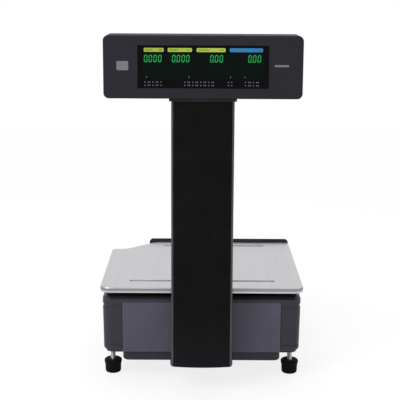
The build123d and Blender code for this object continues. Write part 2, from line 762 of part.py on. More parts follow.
with BuildPart() as platter:
    with BuildSketch(Plane.XY.offset(platter_top - skirt)):
        platter_outline(0.0)
    extrude(amount=skirt)
    fillet(platter.edges().group_by(Axis.Z)[-1], radius=platter_rim)
    add(platter_hollow.part, mode=Mode.SUBTRACT)
    with BuildSketch(Plane.XY.offset(platter_top - groove_depth - platter_sheet)):
        for groove_x, groove_y, groove_length in grooves:
            with Locations((groove_x, groove_y)):
                SlotOverall(groove_length, groove_width + 2 * platter_sheet)
    extrude(amount=groove_depth)
    with BuildSketch(Plane.XY.offset(platter_top)):
        for groove_x, groove_y, groove_length in grooves:
            with Locations((groove_x, groove_y)):
                SlotOverall(groove_length - 2 * platter_sheet, groove_width)
    extrude(amount=-groove_depth, mode=Mode.SUBTRACT)
platter.part.label = "platter"
export_step(platter.part, "parts/platter.step")

with BuildPart() as spirit_level:
    with BuildSketch(Plane.XY.offset(deck_top - 5)):
        with Locations((level_x, level_y)):
            Circle(12.05)
    extrude(amount=5)
    with BuildSketch(Plane.XY.offset(deck_top)):
        with Locations((level_x, level_y)):
            Circle(14)
    extrude(amount=1.4)
    with BuildSketch(Plane.XY.offset(deck_top - 3)):
        with Locations((level_x, level_y)):
            Circle(9)
    extrude(amount=6, mode=Mode.SUBTRACT)
    with BuildSketch(Plane.XY.offset(deck_top - 3)):
        with Locations((level_x, level_y)):
            Circle(8.9)
    extrude(amount=3.6)
spirit_level.part.label = "spirit_level"
export_step(spirit_level.part, "parts/spirit_level.step")

# ================= electronics in the base =================
cable_height = 50.0
cable_thick = 1.2
cable_width = 24.0
main_board_near_y = main_board_y - main_board_depth / 2
with BuildPart() as main_board:
    with BuildSketch(Plane.XY.offset(board_height)):
        with Locations((main_board_x, main_board_y)):
            Rectangle(main_board_width, main_board_depth)
    extrude(amount=board)
    chips = (
        (20.0, 10.0, 22.0, 22.0, 2.4),
        (-22.0, 8.0, 14.0, 20.0, 2.0),
        (52.0, -16.0, 16.0, 16.0, 12.0),
        (-52.0, 22.0, 10.0, 24.0, 9.0),
        (48.0, 24.0, 26.0, 10.0, 11.0),
    )
    for chip_x, chip_y, chip_width, chip_depth, chip_rise in chips:
        with BuildSketch(Plane.XY.offset(board_height + board)):
            with Locations((main_board_x + chip_x, main_board_y + chip_y)):
                Rectangle(chip_width, chip_depth)
        extrude(amount=chip_rise)
    with BuildSketch(Plane.XY.offset(board_height + board)):
        with Locations((0, main_board_near_y + 4)):
            Rectangle(cable_width + 4, 8)
    extrude(amount=cable_height + cable_thick - board_height - board)
main_board.part.label = "main_board"
export_step(main_board.part, "parts/main_board.step")

with BuildPart() as power_supply:
    with BuildSketch(Plane.XY.offset(board_height)):
        with Locations((supply_x, supply_y)):
            Rectangle(supply_width, supply_depth)
    extrude(amount=board)
    blocks = ((-18.0, 0.0, 34.0, 30.0, 24.0), (24.0, 22.0, 18.0, 18.0, 30.0), (24.0, -20.0, 28.0, 12.0, 22.0))
    for block_x, block_y, block_width, block_depth, block_rise in blocks:
        with BuildSketch(Plane.XY.offset(board_height + board)):
            with Locations((supply_x + block_x, supply_y + block_y)):
                Rectangle(block_width, block_depth)
        extrude(amount=block_rise)
power_supply.part.label = "power_supply"
export_step(power_supply.part, "parts/power_supply.step")

entry_face_x = body_half + 0.5
entry_seat_x = body_half - 0.6
inlet_y = entry_y - 9.0
switch_y = entry_y + 17.0
inlet_deep = 15.0
switch_opening = 14.0
switch_rise = 22.0
rocker_axis_x = entry_face_x - 3.0
with BuildPart() as power_entry:
    with BuildSketch(Plane.YZ.offset(entry_seat_x)):
        with Locations((entry_y, entry_z)):
            rounded_face(entry_span, entry_rise, 3)
    extrude(amount=entry_face_x - entry_seat_x)
    with BuildSketch(Plane.YZ.offset(entry_seat_x)):
        with Locations((entry_y, entry_z)):
            Rectangle(entry_span - 8, entry_rise - 6)
    extrude(amount=-22)
    with BuildSketch(Plane.YZ.offset(entry_face_x + 1)):
        with Locations((inlet_y, entry_z)):
            Rectangle(24, 17)
    extrude(amount=-(inlet_deep + 1), mode=Mode.SUBTRACT)
    with BuildSketch(Plane.YZ.offset(entry_face_x - inlet_deep)):
        with Locations((inlet_y - 7, entry_z - 2), (inlet_y, entry_z + 2), (inlet_y + 7, entry_z - 2)):
            Rectangle(2, 4)
    extrude(amount=8)
    with BuildSketch(Plane.YZ.offset(entry_face_x + 1)):
        with Locations((switch_y, entry_z)):
            Rectangle(switch_opening, switch_rise)
    extrude(amount=-15, mode=Mode.SUBTRACT)
power_entry.part.label = "power_entry"
export_step(power_entry.part, "parts/power_entry.step")

rocker_tilt = 8.0
rocker_plane = Plane(
    origin=(rocker_axis_x, switch_y + switch_opening / 2 - 0.5, entry_z),
    x_dir=(math.cos(math.radians(rocker_tilt)), 0, math.sin(math.radians(rocker_tilt))),
    z_dir=(0, -1, 0),
)
with BuildPart() as power_rocker:
    with BuildSketch(rocker_plane):
        with BuildLine():
            Polyline((4.2, -8.8), (-3.5, -8.0), (-3.5, 8.0), (4.2, 8.8))
            ThreePointArc((4.2, 8.8), (2.6, 0), (4.2, -8.8))
        make_face()
    extrude(amount=switch_opening - 1.0)
    with BuildSketch(rocker_plane.offset(-0.5)):
        Circle(1.5)
    extrude(amount=switch_opening)
power_rocker.part.label = "power_rocker"
export_step(power_rocker.part, "parts/power_rocker.step")

with BuildPart() as port_sockets:
    for port_y, port_span, port_rise in ports:
        with BuildSketch(Plane.YZ.offset(body_half - 0.6)):
            with Locations((port_y, port_z)):
                Rectangle(port_span, port_rise)
        extrude(amount=-16)
        with BuildSketch(Plane.YZ.offset(body_half)):
            with Locations((port_y, port_z)):
                Rectangle(port_span - 4, port_rise - 4)
        extrude(amount=-12, mode=Mode.SUBTRACT)
port_sockets.part.label = "port_sockets"
export_step(port_sockets.part, "parts/port_sockets.step")

# ================= column =================
column_bottom = 40.0
column_top = head_bottom + 7.0
column_mid_y = (column_front_y + column_back_y) / 2
strip_width = 3.2
cover_half = column_width / 2 - strip_width
flange_thick = 5.0
bracket_bottom = 24.5
bracket_half = column_width / 2 + 2.9
bracket_flange_half = 40.0
bracket_flange_top = 110.0
with BuildPart() as column_extrusion:
    with BuildSketch(Plane.XY.offset(column_bottom)):
        with Locations((0, column_mid_y)):
            rounded_face(column_width, column_depth, 3.4)
        with Locations((0, column_mid_y + 1.0)):
            RectangleRounded(column_width - 2 * wall, column_depth - 2 * wall - 2.0, 2, mode=Mode.SUBTRACT)
        with Locations((0, column_front_y)):
            Rectangle(2 * cover_half, 4.0, mode=Mode.SUBTRACT)
    extrude(amount=column_top - column_bottom)
    with BuildSketch(facing_customer(column_back_y + 1)):
        with Locations((0, cable_height + cable_thick / 2)):
            Rectangle(cable_width + 2, cable_thick + 2)
        with Locations((0, 86)):
            with GridLocations(56, 30, 2, 2):
                Circle(screw_radius + running_fit)
    extrude(amount=wall + 2, mode=Mode.SUBTRACT)
column_extrusion.part.label = "column_extrusion"
export_step(column_extrusion.part, "parts/column_extrusion.step")

cover_edge_y = column_front_y - 0.5
cover_crown_y = cover_edge_y - column_bow
with BuildPart() as column_front_cover:
    with BuildSketch(Plane.XY.offset(column_bottom)):
        with BuildLine():
            half = cover_half - 0.2
            Polyline(
                (-half, cover_edge_y),
                (-half, column_front_y + 2.0),
                (half, column_front_y + 2.0),
                (half, cover_edge_y),
            )
            ThreePointArc((half, cover_edge_y), (0, cover_crown_y), (-half, cover_edge_y))
        make_face()
    extrude(amount=column_top - column_bottom)
column_front_cover.part.label = "column_front_cover"
export_step(column_front_cover.part, "parts/column_front_cover.step")

with BuildPart() as column_bracket:
    with BuildSketch(Plane.XY.offset(bracket_bottom)):
        with Locations((0, (bracket_near_y + bracket_far_y) / 2)):
            rounded_face(2 * bracket_half, bracket_far_y - bracket_near_y, 5)
    extrude(amount=tray_bottom - bracket_bottom)
    with BuildSketch(facing_customer(column_back_y + flange_thick)):
        with Locations((0, (tray_bottom - 1 + bracket_flange_top) / 2)):
            Rectangle(2 * bracket_flange_half, bracket_flange_top - tray_bottom + 1)
    extrude(amount=flange_thick)
    with BuildSketch(Plane.XY.offset(bracket_bottom - 1)):
        with Locations((0, bracket_screw_y)):
            with GridLocations(64, 66, 2, 2):
                Circle(screw_radius + running_fit)
    extrude(amount=tray_bottom, mode=Mode.SUBTRACT)
    with BuildSketch(facing_customer(column_back_y + flange_thick + 1)):
        with Locations((0, cable_height + cable_thick / 2)):
            Rectangle(cable_width + 2, cable_thick + 2)
        with Locations((0, 86)):
            with GridLocations(56, 30, 2, 2):
                Circle(screw_radius + running_fit)
    extrude(amount=flange_thick + 2, mode=Mode.SUBTRACT)
column_bracket.part.label = "column_bracket"
export_step(column_bracket.part, "parts/column_bracket.step")

# ================= display head =================
head_mid_z = head_bottom + head_height / 2
head_parting_y = head_front_y + 27.5
head_corner = 8.0
bevel_back = 2.2
window_width = 189.0
window_height = 61.4
window_z = head_bottom + 45.8
pane_fit = 0.2
collar_drop = 4.6
throat_half = column_width / 2 + seam
throat_front_y = cover_crown_y - 1.5
throat_back_y = column_back_y + seam

with BuildPart() as neck_collar:
    collar_half = column_width / 2 + 2.9
    with BuildSketch(Plane.XY.offset(head_bottom - collar_drop)):
        with BuildLine():
            Polyline(
                (-collar_half, cover_edge_y - 2.9),
                (-collar_half, column_back_y + 2.9),
                (collar_half, column_back_y + 2.9),
                (collar_half, cover_edge_y - 2.9),
            )
            ThreePointArc(
                (collar_half, cover_edge_y - 2.9),
                (0, cover_crown_y - 2.9),
                (-collar_half, cover_edge_y - 2.9),
            )
        make_face()
        with BuildLine(mode=Mode.PRIVATE) as throat:
            Polyline(
                (-throat_half, cover_edge_y - seam),
                (-throat_half, throat_back_y),
                (throat_half, throat_back_y),
                (throat_half, cover_edge_y - seam),
            )
            ThreePointArc(
                (throat_half, cover_edge_y - seam),
                (0, cover_crown_y - seam),
                (-throat_half, cover_edge_y - seam),
            )
        make_face(throat.edges(), mode=Mode.SUBTRACT)
    extrude(amount=collar_drop)
    fillet(neck_collar.edges().group_by(Axis.Z)[0].filter_by(lambda e: e.length > 97), radius=1.0)
neck_collar.part.label = "neck_collar"
export_step(neck_collar.part, "parts/neck_collar.step")


screw_spread_x = head_width - 24.0
screw_spread_z = head_height - 22.0


def head_face_outline(inset):
    """Rounded face of the head, inset all round."""
    with Locations((0, head_mid_z)):
        RectangleRounded(head_width - 2 * inset, head_height - 2 * inset, head_corner - inset)


badge_thick = 0.6
badge_x = -116.1
label_x = 113.0


def badge_outlines():
    """The square badge left of the window and the slim one right of it."""
    with Locations((badge_x, window_z + 1.6)):
        RectangleRounded(17, 13, 2)
    with Locations((label_x, window_z + 2.0)):
        RectangleRounded(21, 3, 1.2)


def window_outline(inset):
    """Window rectangle on a head face, inset all round."""
    with Locations((0, window_z)):
        Rectangle(window_width - 2 * inset, window_height - 2 * inset)


with BuildPart() as head_front_bezel:
    with BuildSketch(facing_customer(head_parting_y)):
        head_face_outline(0.0)
    extrude(amount=head_parting_y - head_front_y)
    fillet(head_front_bezel.edges().group_by(Axis.Y)[0], radius=bevel_back)
    with BuildSketch(facing_customer(head_parting_y + 1)):
        head_face_outline(wall)
    extrude(amount=head_parting_y + 1 - head_front_y - head_face, mode=Mode.SUBTRACT)
    with BuildSketch(facing_customer(head_front_y + pane + pane_fit)):
        window_outline(0.0)
    extrude(amount=pane + pane_fit + 1, mode=Mode.SUBTRACT)
    with BuildSketch(facing_customer(head_front_y)):
        badge_outlines()
    extrude(amount=-badge_thick, mode=Mode.SUBTRACT)
    with BuildSketch(facing_customer(head_front_y + head_face + 1)):
        window_outline(3.0)
    extrude(amount=head_face + 2, mode=Mode.SUBTRACT)
    with BuildSketch(Plane.XY.offset(head_bottom - 1)):
        with Locations((0, (throat_front_y + head_parting_y) / 2)):
            Rectangle(2 * throat_half, head_parting_y - throat_front_y)
    extrude(amount=wall + 2, mode=Mode.SUBTRACT)
head_front_bezel.part.label = "head_front_bezel"
export_step(head_front_bezel.part, "parts/head_front_bezel.step")

with BuildPart() as head_rear_cover:
    with BuildSketch(facing_customer(head_back_y)):
        head_face_outline(0.0)
    extrude(amount=head_back_y - head_parting_y)
    fillet(head_rear_cover.edges().group_by(Axis.Y)[-1], radius=bevel_back)
    with BuildSketch(facing_customer(head_back_y - head_face)):
        head_face_outline(wall)
    extrude(amount=head_depth, mode=Mode.SUBTRACT)
    with BuildSketch(facing_customer(head_back_y + 1)):
        window_outline(0.0)
    extrude(amount=pane + pane_fit + 1, mode=Mode.SUBTRACT)
    with BuildSketch(facing_customer(head_back_y + 1)):
        window_outline(3.0)
        with Locations((0, head_mid_z)):
            with GridLocations(screw_spread_x, screw_spread_z, 2, 2):
                Circle(1.5 + running_fit)
    extrude(amount=head_face + 2, mode=Mode.SUBTRACT)
    with BuildSketch(Plane.XY.offset(head_bottom - 1)):
        with Locations((0, (head_parting_y + throat_back_y) / 2)):
            Rectangle(2 * throat_half, throat_back_y - head_parting_y)
    extrude(amount=wall + 2, mode=Mode.SUBTRACT)
head_rear_cover.part.label = "head_rear_cover"
export_step(head_rear_cover.part, "parts/head_rear_cover.step")

windows = (
    ("customer_window", head_front_y + pane_fit),
    ("operator_window", head_back_y - pane_fit - pane),
)
for window_name, window_y in windows:
    with BuildPart() as window:
        with BuildSketch(facing_customer(window_y + pane)):
            with Locations((0, window_z)):
                Rectangle(window_width - 0.4, window_height - 0.4)
        extrude(amount=pane)
    window.part.label = window_name
    export_step(window.part, f"parts/{window_name}.step")

tube_width = 176.0
tube_height = 48.0
tube_thick = 8.0
tube_z = window_z
display_board_width = 190.0
display_board_height = 64.0
display_board_z = window_z
front_tube_y = head_front_y + head_face + 0.4
front_board_y = front_tube_y + tube_thick
rear_tube_y = head_back_y - head_face - 0.4
rear_board_y = rear_tube_y - tube_thick
displays = (
    ("customer_display", front_board_y + board, front_board_y),
    ("operator_display", rear_board_y, rear_tube_y),
)
for display_name, board_far_y, tube_far_y in displays:
    with BuildPart() as display:
        with BuildSketch(facing_customer(board_far_y)):
            with Locations((0, display_board_z)):
                Rectangle(display_board_width, display_board_height)
        extrude(amount=board)
        with BuildSketch(facing_customer(tube_far_y)):
            with Locations((0, tube_z)):
                Rectangle(tube_width, tube_height)
        extrude(amount=tube_thick)
    display.part.label = display_name
    export_step(display.part, f"parts/{display_name}.step")

frame_plate_y = (head_front_y + head_back_y) / 2
frame_sheet = 2.0
frame_top = window_z + 36.0
plug_half = 40.0
plug_depth = 24.0
with BuildPart() as head_frame:
    with BuildSketch(Plane.XY.offset(column_top)):
        with Locations((0, column_mid_y + 0.5)):
            rounded_face(120, column_depth - 1.0, 3)
        with Locations((0, column_back_y - wall - 1.2)):
            Rectangle(cable_width + 3, 3.4, mode=Mode.SUBTRACT)
    extrude(amount=2.5)
    with BuildSketch(facing_customer(frame_plate_y + frame_sheet)):
        with Locations((0, (column_top + 2.0 + frame_top) / 2)):
            Rectangle(240, frame_top - column_top - 2.0)
    extrude(amount=frame_sheet)
    with BuildSketch(facing_customer(frame_plate_y)):
        with Locations((0, display_board_z)):
            with GridLocations(170, 54, 2, 2):
                Circle(3)
    extrude(amount=frame_plate_y - front_board_y - board)
    with BuildSketch(facing_customer(rear_board_y - board)):
        with Locations((0, display_board_z)):
            with GridLocations(170, 54, 2, 2):
                Circle(3)
    extrude(amount=rear_board_y - board - frame_plate_y - frame_sheet)
    with BuildSketch(Plane.XY.offset(column_top - plug_depth)):
        with Locations((0, column_mid_y)):
            Rectangle(2 * plug_half, column_depth - 2 * wall - 9.0)
            Rectangle(2 * plug_half - 6, column_depth - 2 * wall - 15.0, mode=Mode.SUBTRACT)
    extrude(amount=plug_depth)
head_frame.part.label = "head_frame"
export_step(head_frame.part, "parts/head_frame.step")

with BuildPart() as blank_badges:
    with BuildSketch(facing_customer(head_front_y)):
        badge_outlines()
    extrude(amount=-badge_thick)
blank_badges.part.label = "blank_badges"
export_step(blank_badges.part, "parts/blank_badges.step")

with BuildPart() as display_cable:
    inner_back = column_back_y - wall
    cable_top = tube_z - tube_height / 2 - 0.6
    with BuildSketch(Plane.YZ.offset(-cable_width / 2)):
        outline([
            (inner_back - cable_thick, cable_top),
            (inner_back, cable_top),
            (inner_back, cable_height + cable_thick),
            (main_board_near_y, cable_height + cable_thick),
            (main_board_near_y, cable_height),
            (inner_back - cable_thick, cable_height),
        ])
    extrude(amount=cable_width)
    with BuildSketch(Plane.YZ.offset(-cable_width / 2)):
        with Locations(((inner_back - cable_thick + rear_board_y) / 2, cable_top - 3)):
            Rectangle(inner_back - cable_thick - rear_board_y, 6)
    extrude(amount=cable_width)
display_cable.part.label = "display_cable"
export_step(display_cable.part, "parts/display_cable.step")

# ================= operator console =================
slope = math.radians(console_slope)
slope_tan = math.tan(slope)
slope_length = console_depth / math.cos(slope)
console_edge = 7.0
pocket_inset = 8.0
panel_thick = 2.5
ledge = 5.0
key_travel = 2.0
key_skirt = 1.2
key_drop = 0.1           # key skirt below the panel at rest
console_plane = Plane(
    origin=(console_mid_x, console_near_y, console_top),
    x_dir=(1, 0, 0),
    z_dir=(0, math.sin(slope), math.cos(slope)),
)


def console_profile(inset, low):
    """Side profile of the console wedge, inset by a wall on every face."""
    near = console_near_y + inset
    far = console_far_y - inset
    top_near = console_top - (2 * inset) / math.cos(slope) - inset * slope_tan
    top_far = console_top - (2 * inset) / math.cos(slope) - (console_depth - inset) * slope_tan
    outline([(near, low), (near, top_near), (far, top_far), (far, low)])


with BuildPart() as console_hollow:
    with BuildSketch(Plane.YZ.offset(console_left_x + wall)):
        console_profile(wall, console_split - 1)
    extrude(amount=2 * (console_half - wall))

panel_mid_v = slope_length / 2
panel_half_u = console_half - pocket_inset
panel_length_v = slope_length - 2 * pocket_inset
with BuildPart() as console_housing:
    with BuildSketch(Plane.YZ.offset(console_left_x)):
        console_profile(0.0, console_split + seam)
    extrude(amount=2 * console_half)
    long_edges = console_housing.edges().filter_by(lambda e: abs(e.length - slope_length) < 1)
    fillet(long_edges, radius=console_edge)
    add(console_hollow.part, mode=Mode.SUBTRACT)
    with BuildSketch(console_plane.offset(1)):
        with Locations((0, panel_mid_v)):
            rounded_face(2 * panel_half_u, panel_length_v, 4)
    extrude(amount=-(panel_thick + 1), mode=Mode.SUBTRACT)
    with BuildSketch(console_plane.offset(1)):
        with Locations((0, panel_mid_v)):
            Rectangle(2 * (panel_half_u - ledge), panel_length_v - 2 * ledge)
    extrude(amount=-12, mode=Mode.SUBTRACT)
    with BuildSketch(Plane.XY.offset(console_top - 3.2)):
        with Locations((console_mid_x, console_near_y)):
            Rectangle(2 * console_half - 12, 1.4)
    extrude(amount=0.8, mode=Mode.SUBTRACT)
console_housing.part.label = "console_housing"
export_step(console_housing.part, "parts/console_housing.step")

key_rows = 4
key_pitch_v = 23.0
key_first_v = panel_mid_v - (key_rows - 1) * key_pitch_v / 2
pad_columns = 3
pad_pitch_u = 20.0
pad_mid_u = -panel_half_u + 68.0
pad_key_width = 15.0
pad_key_length = 17.0
hard_key_u = -panel_half_u + 20.0
hard_key_width = 22.0
hard_key_length = 17.0
key_clearance = 0.4
pad_hole_width = pad_key_width + 2 * key_clearance
pad_hole_length = pad_key_length + 2 * key_clearance
hard_hole_width = hard_key_width + 2 * key_clearance
hard_hole_length = hard_key_length + 2 * key_clearance
sheet_left_u = -panel_half_u + 104.0
sheet_right_u = panel_half_u - 5.0
stack_depth = panel_thick + key_drop + key_skirt + key_travel + 0.6


def pad_places():
    """Grid of the number pad keys on the panel."""
    return GridLocations(pad_pitch_u, key_pitch_v, pad_columns, key_rows)


with BuildPart() as keyboard_panel:
    with BuildSketch(console_plane.offset(-panel_thick)):
        with Locations((0, panel_mid_v)):
            rounded_face(2 * panel_half_u - 0.6, panel_length_v - 0.6, 3.7)
        with Locations((pad_mid_u, panel_mid_v)):
            with pad_places():
                Rectangle(pad_hole_width, pad_hole_length, mode=Mode.SUBTRACT)
        with Locations((hard_key_u, panel_mid_v)):
            with GridLocations(1, key_pitch_v, 1, key_rows):
                Rectangle(hard_hole_width, hard_hole_length, mode=Mode.SUBTRACT)
    extrude(amount=panel_thick)
keyboard_panel.part.label = "keyboard_panel"
export_step(keyboard_panel.part, "parts/keyboard_panel.step")

with BuildPart() as preset_sheet:
    with BuildSketch(console_plane):
        with Locations(((sheet_left_u + sheet_right_u) / 2, panel_mid_v)):
            rounded_face(sheet_right_u - sheet_left_u, panel_length_v - 12.0, 3)
    extrude(amount=0.8)
preset_sheet.part.label = "preset_sheet"
export_step(preset_sheet.part, "parts/preset_sheet.step")

with BuildPart() as number_pad:
    with BuildSketch(console_plane.offset(-stack_depth)):
        with Locations((pad_mid_u, panel_mid_v)):
            Rectangle(pad_columns * pad_pitch_u + 2, key_rows * key_pitch_v + 2)
    extrude(amount=stack_depth - panel_thick - key_drop)
    with BuildSketch(console_plane.offset(-panel_thick - key_drop)):
        with Locations((pad_mid_u, panel_mid_v)):
            with pad_places():
                RectangleRounded(pad_key_width, pad_key_length, 2)
    extrude(amount=panel_thick + 2.8)
    fillet(number_pad.faces().filter_by(lambda f: f.area < 300).edges().filter_by(
        lambda e: (console_plane.to_local_coords(e.center()).Z > 2.6)), radius=0.8)
number_pad.part.label = "number_pad"
export_step(number_pad.part, "parts/number_pad.step")

with BuildPart() as key_board:
    with BuildSketch(console_plane.offset(-stack_depth - board)):
        with Locations((0, panel_mid_v)):
            Rectangle(2 * (panel_half_u - ledge) - 1, panel_length_v - 2 * ledge - 1)
    extrude(amount=board)
key_board.part.label = "key_board"
export_step(key_board.part, "parts/key_board.step")

hard_keys = ("print_key", "feed_key", "total_key", "clear_key")
for row, key_name in enumerate(hard_keys):
    key_v = key_first_v + (key_rows - 1 - row) * key_pitch_v
    with BuildPart() as hard_key:
        with BuildSketch(console_plane.offset(-panel_thick - key_drop)):
            with Locations((hard_key_u, key_v)):
                RectangleRounded(hard_key_width, hard_key_length, 2)
        extrude(amount=panel_thick + key_drop + 3.8)
        with BuildSketch(console_plane.offset(-panel_thick - key_drop)):
            with Locations((hard_key_u, key_v)):
                Rectangle(hard_key_width + 3, hard_key_length + 3)
        extrude(amount=-key_skirt)
        top_edges = hard_key.edges().filter_by(lambda e: console_plane.to_local_coords(e.center()).Z > 3.7)
        fillet(top_edges, radius=1.2)
    hard_key.part.label = key_name
    export_step(hard_key.part, f"parts/{key_name}.step")

# ================= screws =================
with BuildPart() as case_screws:
    with BuildSketch(Plane.XY.offset(bracket_bottom)):
        with Locations((0, bracket_screw_y)):
            with GridLocations(64, 66, 2, 2):
                Circle(5)
    extrude(amount=-3.6)
    with BuildSketch(Plane.XY.offset(bracket_bottom)):
        with Locations((0, bracket_screw_y)):
            with GridLocations(64, 66, 2, 2):
                Circle(screw_radius)
    extrude(amount=tray_floor - bracket_bottom)
    with BuildSketch(facing_customer(column_back_y - wall)):
        with Locations((0, 86)):
            with GridLocations(56, 30, 2, 2):
                Circle(5)
    extrude(amount=3.6)
    with BuildSketch(facing_customer(column_back_y + flange_thick)):
        with Locations((0, 86)):
            with GridLocations(56, 30, 2, 2):
                Circle(screw_radius)
    extrude(amount=flange_thick + wall)
    with BuildSketch(facing_customer(head_back_y)):
        with Locations((0, head_mid_z)):
            with GridLocations(screw_spread_x, screw_spread_z, 2, 2):
                Circle(2.8)
    extrude(amount=-1.2)
    with BuildSketch(facing_customer(head_back_y)):
        with Locations((0, head_mid_z)):
            with GridLocations(screw_spread_x, screw_spread_z, 2, 2):
                Circle(1.5)
    extrude(amount=8)
case_screws.part.label = "case_screws"
export_step(case_screws.part, "parts/case_screws.step")
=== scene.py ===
import math

import bpy
import numpy as np
from mathutils import Matrix, Vector


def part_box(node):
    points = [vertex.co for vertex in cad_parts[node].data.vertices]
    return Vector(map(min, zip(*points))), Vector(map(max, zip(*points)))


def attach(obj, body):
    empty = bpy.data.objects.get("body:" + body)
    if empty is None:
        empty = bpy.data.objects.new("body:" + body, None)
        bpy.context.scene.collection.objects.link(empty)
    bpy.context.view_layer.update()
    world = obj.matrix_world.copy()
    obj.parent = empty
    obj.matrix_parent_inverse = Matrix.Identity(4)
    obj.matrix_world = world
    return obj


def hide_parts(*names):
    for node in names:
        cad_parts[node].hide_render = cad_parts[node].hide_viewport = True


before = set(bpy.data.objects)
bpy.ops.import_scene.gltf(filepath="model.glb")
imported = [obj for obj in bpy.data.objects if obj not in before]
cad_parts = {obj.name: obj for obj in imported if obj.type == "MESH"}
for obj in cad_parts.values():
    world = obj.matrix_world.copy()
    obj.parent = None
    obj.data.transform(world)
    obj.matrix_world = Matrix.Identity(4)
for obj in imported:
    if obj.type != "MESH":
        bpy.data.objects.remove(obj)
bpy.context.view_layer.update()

print("stage: the packed scale is loaded")

mm = 0.001


def linearColour(hexText):
    # each channel c/255: up to 0.04045 it is c / 12.92, above that ((c + 0.055) / 1.055) to the power 2.4
    values = [int(hexText[i:i + 2], 16) / 255 for i in (1, 3, 5)]
    straight = [c / 12.92 if c <= 0.04045 else ((c + 0.055) / 1.055) ** 2.4 for c in values]
    return (*straight, 1.0)


def addNode(material, kind, settings=None, links=None):
    # settings fill sockets by name or number, or properties; links feed sockets from (node, output)
    node = material.node_tree.nodes.new(kind)
    for key, value in (settings or {}).items():
        if isinstance(key, int) or key in node.inputs:
            node.inputs[key].default_value = value
        else:
            setattr(node, key, value)
    joinNode(material, node, links or {})
    return node


def joinNode(material, node, links):
    for key, (source, output) in links.items():
        material.node_tree.links.new(source.outputs[output], node.inputs[key])


def newMaterial(name, shaderSettings):
    # one Principled shader on the output, its constants on its own sockets
    material = bpy.data.materials.new(name)
    material.use_nodes = True
    material.node_tree.nodes.clear()
    shader = addNode(material, "ShaderNodeBsdfPrincipled", shaderSettings)
    addNode(material, "ShaderNodeOutputMaterial", {}, {"Surface": (shader, "BSDF")})
    return material, shader


def handledSkin(material, shader, grain, s):
    # mottled tone, pale rubbed edges, uneven gloss and a fine relief; the rounding takes the knife edge off
    coord = addNode(material, "ShaderNodeTexCoord")
    mottle = addNode(material, "ShaderNodeTexNoise", {"Scale": 1 / (s["mottleMm"] * mm), "Detail": 3.0},
        {"Vector": (coord, "Object")})
    rounded = addNode(material, "ShaderNodeBevel", {"samples": 4, "Radius": s["edgeMm"] * mm})
    facing = addNode(material, "ShaderNodeNewGeometry")
    turned = addNode(material, "ShaderNodeVectorMath", {"operation": "DOT_PRODUCT"},
        {0: (rounded, "Normal"), 1: (facing, "Normal")})
    edge = addNode(material, "ShaderNodeMapRange", {"From Min": 0.99, "From Max": 0.82, "To Min": 0.0,
        "To Max": s["rubbed"]}, {"Value": (turned, "Value")})
    patch = addNode(material, "ShaderNodeMapRange", {"From Min": 0.4, "From Max": 0.62},
        {"Value": (mottle, "Fac")})
    rub = addNode(material, "ShaderNodeMath", {"operation": "MULTIPLY"},
        {0: (edge, "Result"), 1: (patch, "Result")})
    tone = addNode(material, "ShaderNodeMix", {"data_type": "RGBA", 6: linearColour(s["colour"]),
        7: linearColour(s["mottled"])}, {0: (patch, "Result")})
    speck = addNode(material, "ShaderNodeMapRange", {"From Min": 0.35, "From Max": 0.7, "To Min": 0.0,
        "To Max": s["speckle"]}, {"Value": grain})
    specked = addNode(material, "ShaderNodeMix", {"data_type": "RGBA", 7: linearColour(s["rubbedColour"])},
        {0: (speck, "Result"), 6: (tone, 2)})
    worn = addNode(material, "ShaderNodeMix", {"data_type": "RGBA", 7: linearColour(s["rubbedColour"])},
        {0: (rub, "Value"), 6: (specked, 2)})
    gloss = addNode(material, "ShaderNodeMapRange", {"From Min": 0.3, "From Max": 0.7,
        "To Min": s["roughness"][0], "To Max": s["roughness"][1]}, {"Value": (mottle, "Fac")})
    relief = addNode(material, "ShaderNodeBump", {"Strength": s["relief"], "Distance": s["reliefMm"] * mm},
        {"Height": grain, "Normal": (rounded, "Normal")})
    joinNode(material, shader, {"Base Color": (worn, 2), "Roughness": (gloss, "Result"),
        "Normal": (relief, "Normal")})
    return material


def mouldedAbs(name, s):
    # ABS from a spark-eroded mould: satin, with an orange-peel grain
    # the real grain is 0.3 mm, drawn at 1 mm and more so that it shows
    material, shader = newMaterial(name, {"Specular IOR Level": s["specular"], "IOR": 1.53})
    coord = addNode(material, "ShaderNodeTexCoord")
    grain = addNode(material, "ShaderNodeTexNoise", {"Scale": 1 / (s["grainMm"] * mm), "Detail": 2.0,
        "Roughness": 0.7}, {"Vector": (coord, "Object")})
    return handledSkin(material, shader, (grain, "Fac"), s)


